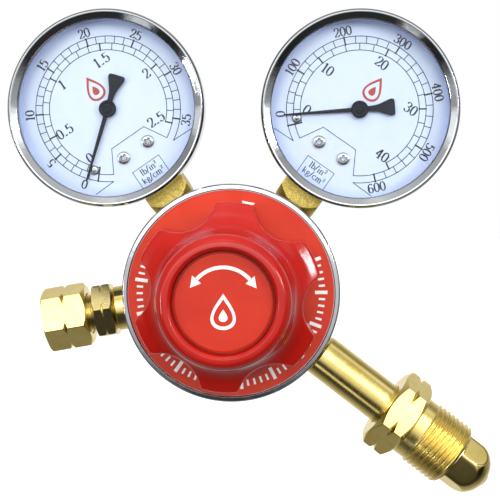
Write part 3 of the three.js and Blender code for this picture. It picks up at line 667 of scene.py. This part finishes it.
def nut_shape(profile, across, turn, nick_half, hex_span, threaded_past=None, **cut):
    """A hexagon with turned chamfers and nicked corners, and whatever is turned on its axis.

    The nick is deepest halfway along the hexagon and nick_half millimetres wide to each side.
    Past the radius threaded_past, the thread that cut describes is cut from its start to its end.
    """
    top = across / math.sqrt(3) + 1
    tip = across / 2 * 1.036
    nick_z = sum(hex_span) / 2

    def shape_of(radii, z, angles):
        low, high = hex_span
        if low - 0.01 <= z <= high + 0.01 and radii[0] > across / 2 - 2.6:
            radii = eased_min(radii, flats(angles, across, 6, turn))
            nick = tip + (top - tip) * abs(z - nick_z) / nick_half
            return eased_min(radii, np.full(len(angles), nick), 14.0)
        if threaded_past and radii[0] > threaded_past and cut["start"] < z < cut["end"]:
            return np.minimum(radii, thread(z, angles, **cut))
        return radii

    return turned(dense(profile, 0.13, loop=True), cornered_angles(6, turn, 40), shape_of, loop=True)


INLET_NUT_TURN, NOSE_TURN = math.radians(-12.5), math.radians(10)
ADAPTER_TURN, HOSE_NUT_TURN = math.radians(36.4), math.radians(13.5)
NUT_BACK, HEX_END, NUT_FRONT = 64.0, 74.4, 92.6
NUT_FLATS, THREAD_R = 25.4, 11.25
inlet_nut = nut_shape(rounded([
    (7.5, NUT_BACK), *hexagon(NUT_FLATS, NUT_BACK, HEX_END, (2.4, 1.7), (2.4, 1.7)),
    (THREAD_R - 0.6, HEX_END, 0.35), (THREAD_R - 0.6, HEX_END + 4.0, 0.1), (THREAD_R, HEX_END + 4.6, 0.1),
    (THREAD_R, NUT_FRONT - 0.9, 0.1), (THREAD_R - 0.9, NUT_FRONT, 0.15), (9.6, NUT_FRONT, 0.15),
    (9.6, 84.9), (7.5, 84.3),
], 0.08, 3, loop=True), NUT_FLATS, INLET_NUT_TURN, 1.5, (NUT_BACK, HEX_END),
    threaded_past=9.9, start=HEX_END + 4.1, end=NUT_FRONT + 0.5, major=THREAD_R, depth=0.85, pitch=1.814)
piece("inlet_union_nut", inlet_nut, INLET_FRAME, "brass_nut", "inlet_nut", "brass", ["inlet_nut"],
      weighted=False)

TUBE_R, NOSE_R, NOSE_FLATS, INLET_TIP = 7.2, 9.25, 16.3, 106.2
DOME_Z, DOME_LENGTH = 97.8, 8.4


def nose_of(radii, z, angles):
    """Cuts six flats on the nose, past the nut."""
    if z > NUT_FRONT + 0.7 and radii[0] > 2.5:
        return eased_min(radii, flats(angles, NOSE_FLATS, 6, NOSE_TURN), 12.0)
    return radii


dome = [(NOSE_R * math.cos(a), DOME_Z + DOME_LENGTH * math.sin(a), 0) for a in np.linspace(0, 1.28, 22)]
nipple = turned(dense(rounded([
    (3.4, 24), (6.1, 24), (6.1, 35.2), (TUBE_R, 36.6, 0.4), (TUBE_R, 84.6, 0.1), (NOSE_R, 85.2, 0.1),
    (NOSE_R, NUT_FRONT + 0.6, 0.0), (NOSE_R, NUT_FRONT + 0.75, 0.0), *dome, (2.4, INLET_TIP, 0.3),
    (2.0, INLET_TIP - 0.4, 0.2), (2.0, 42), (3.4, 41),
], 0.15, 3, loop=True), 0.22, loop=True), cornered_angles(6, NOSE_TURN, 40), nose_of, loop=True)
piece("inlet_bullet_nipple", nipple, INLET_FRAME, "brass_nipple", "regulator", "brass",
      ["inlet_nipple"], weighted=False)

OUT_HEX, OUT_HEX_END, OUT_FLATS, NECK_R, NECK_END = 41.1, 47.5, 17.0, 6.6, 56.7
OUT_NUT, OUT_NUT_END, OUT_NUT_FLATS = 49.7, 64.5, 19.0
adapter = nut_shape(rounded([
    (2.6, 26), (5.4, 26), (5.4, OUT_HEX), *hexagon(OUT_FLATS, OUT_HEX, OUT_HEX_END, (0.9, 0.6), (0.9, 0.6)),
    (NECK_R, OUT_HEX_END, 0.2), (NECK_R, 55.8, 0.1), (NECK_R - 0.9, NECK_END, 0.1), (2.6, NECK_END),
], 0.08, 3, loop=True), OUT_FLATS, ADAPTER_TURN, 0.9, (OUT_HEX, OUT_HEX_END),
    threaded_past=5.9, start=OUT_HEX_END + 0.5, end=NECK_END, major=NECK_R, depth=0.55, pitch=1.2)
piece("outlet_nipple_hex", adapter, OUTLET_FRAME, "brass_hex", "regulator", "brass", ["outlet_adapter"],
      weighted=False)
hose_nut = nut_shape(rounded([
    (6.9, OUT_NUT), *hexagon(OUT_NUT_FLATS, OUT_NUT, OUT_NUT_END, (1.6, 1.3), (0.9, 0.6)),
    (6.0, OUT_NUT_END, 0.3), (5.2, OUT_NUT_END - 0.8, 0.1), (5.2, OUT_NUT_END - 3), (6.9, OUT_NUT_END - 3),
], 0.08, 3, loop=True), OUT_NUT_FLATS, HOSE_NUT_TURN, 1.4, (OUT_NUT, OUT_NUT_END))
piece("outlet_hose_nut", hose_nut, OUTLET_FRAME, "brass_nut", "outlet_nut", "brass", ["outlet_nut"],
      weighted=False)

# ---- gauges ------------------------------------------------------------------------------
# Lengths in millimetres, and angles on the dial in degrees clockwise from straight down.
DIAL_Z = 25.0
OUTER_R, MIDDLE_R, INNER_R = 23.8, 21.5, 19.3
OUTER_NUMBERS_R, INNER_NUMBERS_R = 25.85, 17.6
ZERO, FULL = 42.5, 312.5
SWEEP = FULL - ZERO
NOUGHT = 52.0  # where the figure 0 stands, a little up the scale from its tick
PSI_PER_KG_CM2 = 14.2233
THIN_TICK = 0.26
POINTER_REST = 51.0
PIN_ANGLE, PIN_R = 47.4, 20.6
SCREW_TURN = 0.6  # radians
STEM_FLATS = 14.5
BEZEL_R, CASE_R = 32, 30.4
INK_LOW, INK_HIGH = DIAL_Z - 0.03, DIAL_Z + 0.035

# Pen strokes of each character, on a square one unit high.
STROKES = {
    "0": (0.56, [[(0.28, 1), (0.08, 0.8), (0.05, 0.5), (0.08, 0.2), (0.28, 0), (0.48, 0.2), (0.51, 0.5),
        (0.48, 0.8), (0.28, 1)]]),
    "1": (0.42, [[(0.22, 0), (0.22, 1)], [(0.22, 0.99), (0.05, 0.84)], [(0.05, 0.01), (0.39, 0.01)]]),
    "2": (0.56, [[(0.08, 0.72), (0.11, 0.92), (0.28, 1), (0.46, 0.91), (0.49, 0.72), (0.38, 0.48),
        (0.18, 0.22), (0.05, 0.03)], [(0.05, 0.05), (0.50, 0.05)], [(0.50, 0.05), (0.52, 0.22)]]),
    "3": (0.56, [[(0.07, 0.80), (0.13, 0.95), (0.28, 1), (0.44, 0.91), (0.46, 0.74), (0.37, 0.58),
        (0.22, 0.53)], [(0.22, 0.53), (0.42, 0.46), (0.50, 0.28), (0.43, 0.07), (0.25, 0), (0.11, 0.05),
        (0.06, 0.2)]]),
    "4": (0.58, [[(0.38, 0), (0.38, 1)], [(0.38, 0.99), (0.02, 0.30)], [(0.02, 0.30), (0.55, 0.30)],
        [(0.24, 0.01), (0.52, 0.01)]]),
    "5": (0.56, [[(0.11, 0.96), (0.47, 0.96)], [(0.11, 0.98), (0.09, 0.54)], [(0.09, 0.54), (0.27, 0.62),
        (0.44, 0.54), (0.50, 0.32), (0.43, 0.08), (0.25, 0), (0.10, 0.05), (0.05, 0.18)]]),
    "6": (0.56, [[(0.47, 0.86), (0.38, 0.98), (0.25, 0.98), (0.10, 0.78), (0.05, 0.42), (0.10, 0.10),
        (0.28, 0), (0.45, 0.10), (0.50, 0.31), (0.43, 0.52), (0.28, 0.58), (0.13, 0.50), (0.07, 0.36)]]),
    ".": (0.36, [[(0.13, 0.0), (0.13, 0.13)], [(0.20, 0.0), (0.20, 0.13)]]),
    "/": (0.36, [[(0.02, -0.08), (0.32, 1.05)]]),
    "l": (0.27, [[(0.13, 0), (0.13, 1)], [(0.02, 0.01), (0.25, 0.01)], [(0.03, 0.98), (0.13, 0.98)]]),
    "b": (0.50, [[(0.11, 0), (0.11, 1)], [(0.02, 0.98), (0.11, 0.98)], [(0.11, 0.48), (0.26, 0.63),
        (0.41, 0.52), (0.45, 0.30), (0.38, 0.06), (0.24, 0), (0.11, 0.12)]]),
    "i": (0.27, [[(0.13, 0), (0.13, 0.62)], [(0.02, 0.01), (0.25, 0.01)], [(0.13, 0.80), (0.13, 0.92)]]),
    "n": (0.56, [[(0.12, 0), (0.12, 0.64)], [(0.12, 0.46), (0.27, 0.63), (0.41, 0.56), (0.43, 0.40),
        (0.43, 0)], [(0.03, 0.01), (0.22, 0.01)], [(0.34, 0.01), (0.53, 0.01)]]),
    "k": (0.54, [[(0.12, 0), (0.12, 1)], [(0.43, 0.62), (0.13, 0.28)], [(0.20, 0.36), (0.48, 0.01)],
        [(0.03, 0.01), (0.22, 0.01)]]),
    "g": (0.50, [[(0.24, 0.63), (0.08, 0.44), (0.24, 0.22), (0.38, 0.44), (0.24, 0.63)], [(0.14, 0.24),
        (0.12, 0.10), (0.40, 0.04), (0.42, -0.14), (0.24, -0.26), (0.07, -0.16), (0.12, 0.02)]]),
    "c": (0.48, [[(0.42, 0.48), (0.34, 0.62), (0.22, 0.63), (0.07, 0.44), (0.07, 0.18), (0.22, 0),
        (0.35, 0.02), (0.44, 0.16)]]),
    "m": (0.84, [[(0.12, 0), (0.12, 0.64)], [(0.12, 0.46), (0.26, 0.63), (0.38, 0.56), (0.40, 0.40),
        (0.40, 0)], [(0.40, 0.46), (0.54, 0.63), (0.66, 0.56), (0.68, 0.40), (0.68, 0)], [(0.03, 0.01),
        (0.21, 0.01)], [(0.31, 0.01), (0.49, 0.01)], [(0.59, 0.01), (0.77, 0.01)]]),
}


def curved(points, per=5):
    """A smooth curve through points; two points stay a straight line."""
    p = np.array(points, float)
    if len(p) < 3:
        return p
    closed = np.allclose(p[0], p[-1])
    first, last = (p[-2], p[1]) if closed else (2 * p[0] - p[1], 2 * p[-1] - p[-2])
    p = np.vstack([first, p, last])
    out = []
    for a, b, c, d in zip(p, p[1:], p[2:], p[3:]):
        for t in np.arange(per) / per:
            square, cube = 2 * a - 5 * b + 4 * c - d, 3 * b - a - 3 * c + d
            out.append(0.5 * (2 * b + (c - a) * t + square * t**2 + cube * t**3))
    return np.array([*out, p[-2]])


def write(shape, text, centre, turn, height, thin=0.075, thick=0.18, wide=1.06, gap=0.09):
    """Letters a broad pen would draw: heavy down strokes and fine cross strokes. ^ is a raised 2.

    The strokes' widths, the stretch and the gap between letters are shares of the height.
    """
    letters = [(ch, 1.0, 0.0) if ch != "^" else ("2", 0.5, 0.55) for ch in text]
    width = wide * sum(STROKES[ch][0] * s for ch, s, _ in letters) + gap * (len(letters) - 1)
    x = -width / 2
    a = math.radians(turn)
    c, s = math.cos(a), math.sin(a)
    for ch, size, lift in letters:
        for stroke in STROKES[ch][1]:
            path = curved(stroke) * (wide, 1.0)
            direction = np.gradient(path, axis=0)
            direction /= np.maximum(np.linalg.norm(direction, axis=1), 1e-9)[:, None]
            pen = (thin + (thick - thin) * np.abs(direction[:, 1]) ** 2)[:, None] / 2
            side = np.stack([-direction[:, 1], direction[:, 0]], 1) * pen / (1 if size == 1 else 1.3)
            edges = []
            for edge in (path * size + side, path * size - side):
                u, v = (edge[:, 0] + x) * height, (edge[:, 1] + lift - 0.5) * height
                edges.append(np.stack([centre[0] + u * c - v * s, centre[1] + u * s + v * c], 1))
            shape.strip(*edges, INK_LOW, INK_HIGH)
        x += wide * STROKES[ch][0] * size + gap


def line(shape, points, width=0.24):
    """A thin ruled line through points."""
    for a, b in zip(points, points[1:]):
        a, b = np.array(a, float), np.array(b, float)
        d = (b - a) / np.linalg.norm(b - a)
        side = np.array((-d[1], d[0])) * width / 2
        a, b = a - d * width / 2, b + d * width / 2
        shape.prism([a + side, a - side, b - side, b + side], INK_LOW, INK_HIGH)


def tick(shape, angle, r0, r1, width):
    line(shape, [dial_point(angle, r0), dial_point(angle, r1)], width)


def ruled_arc(shape, r, start, end, width=THIN_TICK):
    shape.strip(arc(r + width / 2, start, end, 160), arc(r - width / 2, start, end, 160), INK_LOW, INK_HIGH)


def dial_print(outer, inner):
    """The scales, numbers, outlines and units of a dial.

    outer is its full reading, its step, how many steps make a heavy tick, and its numbers.
    inner is its degrees a unit, its last reading, and the same three.
    """
    ink_shape = Shape()
    ruled_arc(ink_shape, OUTER_R, 30.0, 330.0)
    ruled_arc(ink_shape, MIDDLE_R, 29.6, 330.4)
    full, step, every, numbers = outer
    sweep = SWEEP / full
    for k in range(round(full / step) + 1):
        major = k % every == 0
        reach, width = (OUTER_R + 0.1, 0.50) if major else (OUTER_R, THIN_TICK)
        tick(ink_shape, ZERO + k * step * sweep, MIDDLE_R, reach, width)
    for value in numbers:
        angle = ZERO + value * sweep
        over = 180 if angle > 300 else 0
        angle = angle if value else NOUGHT
        write(ink_shape, str(value), dial_point(angle, OUTER_NUMBERS_R), 180 - angle + over, 2.9)
    per_unit, limit, small, every, numbers = inner
    end = ZERO + limit * per_unit
    ruled_arc(ink_shape, INNER_R, ZERO, end)
    for k in range(round(limit / small) + 1):
        major = k % every == 0
        tick(ink_shape, ZERO + k * small * per_unit, INNER_R, MIDDLE_R, 0.48 if major else THIN_TICK)
    for value in numbers:
        angle = ZERO + float(value) * per_unit
        angle = angle if float(value) else NOUGHT + 3
        write(ink_shape, value, dial_point(angle, INNER_NUMBERS_R - 0.5 * len(value)), 0, 3.2)
    for side in (-1, 1):
        line(ink_shape, [(side * 10.62, -18.69), (side * 6.4, -11.4)])
        line(ink_shape, [(side * 11.9, -20.61), (side * 19.2, -20.8)])
    line(ink_shape, [(-6.4, -11.4), (6.4, -11.4)])
    line(ink_shape, [(-5.2, -27.9), (-5.2, -21.75), (5.2, -21.75), (5.2, -27.9)], 0.2)
    for unit, y in (("lb/in^", -23.45), ("kg/cm^", -26.1)):
        write(ink_shape, unit, (0, y), 0, 2.15, 0.07, 0.15, 1.2, 0.04)
    return ink_shape


def screw_head(x, y):
    """A pan head with a cross recess."""
    angles = even_angles(96) + 0.5
    shank, brim = 24.2, DIAL_Z + 0.45
    rows = [np.array([(x, y, shank)])]
    rim = [(0.8, shank), (0.8, DIAL_Z + 0.05), (2.05, DIAL_Z + 0.05), (2.1, DIAL_Z + 0.2), (2.07, brim)]
    top = [(r, brim + 0.52 * math.sqrt(1 - (r / 2.12) ** 2)) for r in np.linspace(2.0, 0.06, 34)]
    c, s = math.cos(SCREW_TURN), math.sin(SCREW_TURN)
    for r, z in rim + top:
        px, py = r * np.cos(angles), r * np.sin(angles)
        depth = 0.0
        if (r, z) in top:
            u, v = np.abs(px * c + py * s), np.abs(py * c - px * s)
            arms = [np.clip((0.42 - across) / 0.12, 0, 1) * np.clip((1.2 - along) / 0.4, 0, 1)
                    for across, along in ((v, u), (u, v))]
            depth = np.maximum(*arms)
        rows.append(np.stack([x + px, y + py, np.full(len(angles), z) - depth], 1))
    rows.append(np.array([(x, y, float(np.mean(rows[-1][:, 2])))]))
    return Shape().add(*skin(rows))


def pointer_shape():
    """Blade, paddle tail and ringed hub, pointing at the rest reading."""
    blade_low, blade_high = 25.9, 26.28
    edge = curved([(0.9, -3.0), (0.95, -4.0), (1.25, -6.0), (2.05, -8.2), (2.72, -9.9)], 6)
    tail = curved([(2.78, -10.3), (2.62, -11.0), (2.1, -11.35), (0, -11.4)], 5)
    blade = [(0.26, 24.6), (0.42, 18.0), (0.62, 8.0), (0.72, 2.6)]
    right = blade + [tuple(p) for p in edge] + [tuple(p) for p in tail[:-1]]
    outline = right + [(0.0, -11.4)] + [(-x, y) for x, y in reversed(right)] + [(0.0, 24.85)]
    a = math.radians(180 - POINTER_REST)
    swung = [(x * math.cos(a) - y * math.sin(a), x * math.sin(a) + y * math.cos(a)) for x, y in outline]
    hub = rounded([
        (0, 25.75), (2.8, 25.75, 0.05), (2.85, 26.5, 0.2), (2.45, 26.78, 0.15), (2.1, 26.78, 0.1),
        (1.95, 26.62, 0.1), (1.35, 26.62, 0.1), (1.2, 26.82, 0.1), (0.74, 26.86, 0.1), (0.62, 26.7, 0.1),
        (0.42, 26.7, 0.05), (0.36, 26.84, 0.05), (0, 26.88),
    ], 0.08, 3)
    return turned(hub, even_angles(72), into=Shape().prism(swung, blade_low, blade_high))


def stop_pin():
    """The pin that the pointer rests against, on its collar."""
    profile = rounded([
        (0, 23.6), (0.6, 23.6), (0.6, 25.05), (1.62, 25.05), (1.6, 25.3, 0.15), (1.2, 25.62, 0.3),
        (0.55, 25.72, 0.1), (0.48, 25.9, 0.1), (0.48, 26.55, 0.2), (0, 26.7),
    ], 0.08, 4)
    shape = turned(profile, even_angles(48))
    shape.points = [p + np.array((*dial_point(PIN_ANGLE, PIN_R), 0)) for p in shape.points]
    return shape


def socket_shape():
    """The square gauge stem, with a turned chamfer at its foot and its shank in the body."""
    foot, top, shank_r = 33.6, 47.4, 6
    corner = STEM_FLATS / math.sqrt(2) + 0.2

    def shape_of(radii, z, angles):
        if z > foot - 0.1 and radii[0] > shank_r + 0.7:
            return eased_min(radii, flats(angles, STEM_FLATS, 4, 0.0), 5.0)
        return radii

    profile = dense(rounded([
        (0, 24), (shank_r, 24), (shank_r, foot), (6.6, foot, 0.1), (corner, 38.3, 0.3), (corner, top, 0.1),
        (shank_r, top), (0, top),
    ], 0.15, 3), 0.2)
    return turned(profile, cornered_angles(4, 0.0, 44), shape_of)


# Each gauge's outer scale in lb/in2 and inner scale in kg/cm2, as dial_print takes them.
SCALES = {
    "outlet": ((35, 1, 5, (0, 5, 10, 15, 20, 25, 30, 35)),
               (SWEEP * PSI_PER_KG_CM2 / 35, 2.5, 0.1, 5, ("0", "0.5", "1", "1.5", "2", "2.5"))),
    "inlet": ((600, 20, 5, (0, 100, 200, 300, 400, 500, 600)),
              (SWEEP * PSI_PER_KG_CM2 / 600, 40, 2, 5, ("0", "10", "20", "30", "40"))),
}

for prefix, (tilted, _) in GAUGES.items():
    upright = placed(tilted.translation, (0, 0, 1), FRONT)
    to_upright = np.array((upright.inverted() @ tilted).to_3x3())

    def part(name, shape, material, slot, node=None, body="regulator", **options):
        """A piece drawn in the gauge's own frame, kept in an upright one so that its box is tight."""
        shape.points = [points @ to_upright.T for points in shape.points]
        piece(f"{prefix}_{name}", shape, upright, material, body, slot,
              [f"{prefix}_{node}"] if node else (), **options)

    piece(f"{prefix}_stem", socket_shape(), STEM_FRAMES[prefix], "forged", "regulator", "forged_brass",
          [f"{prefix}_gauge_socket"], weighted=False)
    part("case_shell", turned(rounded([
        (0, 3.5), (5.6, 3.5, 0.1), (5.9, 3.9, 0.1), (6.6, 3.9, 0.1), (6.9, 3.2, 0.2), (28.9, 3.0, 1.0),
        (CASE_R, 4.5, 1.0), (CASE_R, 27), (29.2, 27), (29.2, 4.6), (0, 4.6),
    ], 0.3, 5), even_angles(192)), "chrome", "chrome", "gauge_case")
    part("bezel_ring", turned(rounded([
        (30.7, 22.5), (31.4, 22.5, 0.3), (BEZEL_R, 23.2, 0.4), (BEZEL_R, 30.5, 0.9), (31.3, 31.5, 0.7),
        (30.8, 31.4, 0.5), (29.0, 30.4, 0.4), (28.6, 29.9, 0.2), (28.6, 29.6, 0.05), (30.7, 29.6, 0.05),
    ], 0.1, 6, loop=True), even_angles(256), loop=True), "chrome", "chrome", "gauge_bezel")
    part("window_pane", turned(rounded([
        (0, 27.4), (30.2, 27.4), (30.2, 29.2), (28.4, 29.25), (0, 29.3),
    ], 0.1), even_angles(96)), "window", "window", "gauge_window")
    part("dial_plate", turned(rounded([
        (1.6, 24.4), (29.15, 24.4), (29.15, 27.0), (28.9, 27.0), (28.8, DIAL_Z, 0.3), (1.6, DIAL_Z),
    ], 0.05, 4, loop=True), even_angles(160), loop=True), "dial", "dial", "dial")
    part("dial_print", dial_print(*SCALES[prefix]), "black_ink", "pointer_black", smooth=False)
    part("dial_emblem", emblem(
        Shape(), drop(8.2, 6.8, 8.8), drop(7.9, 5.2, 6.6), 0.5, 6.9, INK_LOW, INK_HIGH,
    ), "orange_ink", "label_red", smooth=False)
    part("pointer_hand", pointer_shape(), "pointer", "pointer_black", "pointer", f"{prefix}_pointer")
    for side, name in ((1, "left"), (-1, "right")):
        x, y = dial_point(16.5 * side, 16.8)
        part(f"screw_{name}", screw_head(x, y), "steel", "steel", f"dial_screw_{name}", weighted=False)
    part("stop_peg", stop_pin(), "steel", "steel", "stop_pin")

# ---- carried-over CAD nodes --------------------------------------------------------------
# The looks of the material slots whose names differ from them.
NODE_LOOKS = {
    "brass": "brass_hex", "forged_brass": "forged", "knob_red": "knob", "label_red": "label",
    "pointer_black": "pointer",
}
for row in RECORD["subparts"]:
    node = frame["nodes"][row["node"]]
    look = M[NODE_LOOKS.get(row["material_slot"], row["material_slot"])]
    if node.material_slots:
        for material_slot in node.material_slots:
            material_slot.material = look
    else:
        node.data.materials.append(look)

# ---- stage -------------------------------------------------------------------------------
low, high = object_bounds()
centre = (low + high) / 2
FLOOR_R, FLOOR_BELOW = 6, 0.09  # metres


def floor_material():
    n = Nodes("pale_floor")
    grain = n.span(n.noise(n.coords, 3.0, 3.0), 0.3, 0.7)
    n.set(Base_Color=n.mix(grain, colour(0.94, 0.94, 0.94), colour(0.92, 0.92, 0.92)), Roughness=0.7)
    n.set(Emission_Color=colour(1, 1, 1), Emission_Strength=0.45)
    return n.material


floor_mesh = bpy.data.meshes.new("floor")
floor_edge = [(FLOOR_R * math.cos(a), FLOOR_R * math.sin(a), 0) for a in even_angles(64)]
floor_mesh.from_pydata(floor_edge, [], [tuple(range(len(floor_edge)))])
floor_mesh.materials.append(floor_material())
floor = linked_object("floor", floor_mesh)
floor.location = (centre.x, centre.y, low.z - FLOOR_BELOW)
floor.visible_glossy = False
floor.visible_diffuse = False

world = bpy.data.worlds.new("studio")
world.use_nodes = True
bpy.context.scene.world = world
w = Tree(world.node_tree)

# Brightness round the studio: degrees above the front horizon, then the light there.
SKY = [
    (-180, 1.0), (-150, 0.85), (-125, 0.55), (-110, 0.40), (-97, 0.30), (-85, 0.10), (-60, 0.04), (-28, 0.05),
    (-20, 0.45), (-12, 1.0), (4, 1.2), (10, 3.6), (27, 3.6), (34, 1.3), (50, 0.9), (70, 1.0), (85, 0.8),
    (100, 0.55), (120, 0.45), (135, 0.6), (146, 0.8), (165, 0.95), (180, 1.0),
]
SKY_MAX = 4.0
direction = w.add("ShaderNodeTexCoord").outputs["Generated"]
east, north, up = w.add("ShaderNodeSeparateXYZ", {0: direction}).outputs
height = w.maths("ARCTAN2", up, w.maths("MULTIPLY", north, -1.0))
ramp = w.add("ShaderNodeValToRGB", {"Fac": w.span(height, -math.pi, math.pi)})
elements = ramp.color_ramp.elements
while len(elements) < len(SKY):
    elements.new(0.5)
for element, (degrees, level) in zip(elements, SKY):
    element.position = (degrees + 180) / 360
    element.color = colour(*[level / SKY_MAX] * 3)
# The studio is darker out to its sides.
sideways = w.span(w.maths("ABSOLUTE", east), 0.4, 0.85, SKY_MAX, 0.35 * SKY_MAX)
light = w.maths("MULTIPLY", ramp.outputs["Color"], sideways)
# Soft cards: a direction from the object, half the card's width in degrees, and its light.
CARDS = [
    ((-0.446, -0.574, -0.688), 9, 1.1), ((0.75, -0.05, 0.66), 14, 0.6), ((-0.147, -0.356, 0.923), 15, 0.6),
]
for aim, half, strength in CARDS:
    facing = w.add("ShaderNodeVectorMath", {0: direction, 1: Vector(aim).normalized()},
                   operation="DOT_PRODUCT").outputs["Value"]
    edge, full = math.cos(math.radians(half)), math.cos(math.radians(half * 0.4))
    light = w.maths("ADD", light, w.span(facing, edge, full, 0.0, strength, interpolation_type="SMOOTHSTEP"))
# The camera sees a plain white studio behind the floor's edge.
seen = w.add("ShaderNodeLightPath").outputs["Is Camera Ray"]
backdrop = w.add("ShaderNodeMix", {0: seen, 2: light, 3: 1.0}).outputs[0]
background = w.tree.nodes["Background"]
w.put(background.inputs["Color"], colour(1, 1, 1))
w.put(background.inputs["Strength"], backdrop)


def lamp(name, place, aim, size, size_y, power):
    """A rectangular lamp at a place, aimed at a point, both from the object's centre in metres."""
    data = bpy.data.lights.new(name, "AREA")
    data.energy = power
    data.shape = "RECTANGLE"
    data.size, data.size_y = size, size_y
    lamp_object = linked_object(name, data)
    lamp_object.location = centre + Vector(place)
    towards = centre + Vector(aim) - lamp_object.location
    lamp_object.rotation_euler = towards.to_track_quat("-Z", "Y").to_euler()
    return lamp_object


lamp("top_box", (0.0, -0.35, 0.75), (0, 0, 0.02), 0.6, 0.35, 4.0).visible_glossy = False
lamp("left_strip", (-0.66, -0.42, -0.08), (0, 0, 0), 0.05, 0.20, 1.6)
lamp("right_strip", (0.60, -0.45, 0.22), (0, 0, 0), 0.04, 0.20, 1.8)

# ---- camera ------------------------------------------------------------------------------
CAMERA_FROM_AXIS = Vector((0.0232, -0.4618, 0.0304))  # metres, from the knob's axis at the rear face
pitch, roll, yaw = math.radians(-2.22), math.radians(-0.30), math.radians(2.31)
camera_data = bpy.data.cameras.new("camera")
camera_data.lens, camera_data.sensor_width = 96.2, 36.0
camera_data.clip_start, camera_data.clip_end = 0.01, 50.0
camera = linked_object("camera", camera_data)
turn = Matrix.Rotation(yaw, 3, "Z") @ Matrix.Rotation(roll, 3, "Y") @ Matrix.Rotation(pitch, 3, "X")
place = Vector((AXIS.x, REAR_Y, AXIS.z)) + CAMERA_FROM_AXIS
right, forward, up = turn.col
camera.matrix_world = Matrix((
    (right.x, up.x, -forward.x, place.x), (right.y, up.y, -forward.y, place.y),
    (right.z, up.z, -forward.z, place.z), (0, 0, 0, 1),
))
bpy.context.scene.camera = camera
bpy.context.scene.view_settings.view_transform = "Standard"
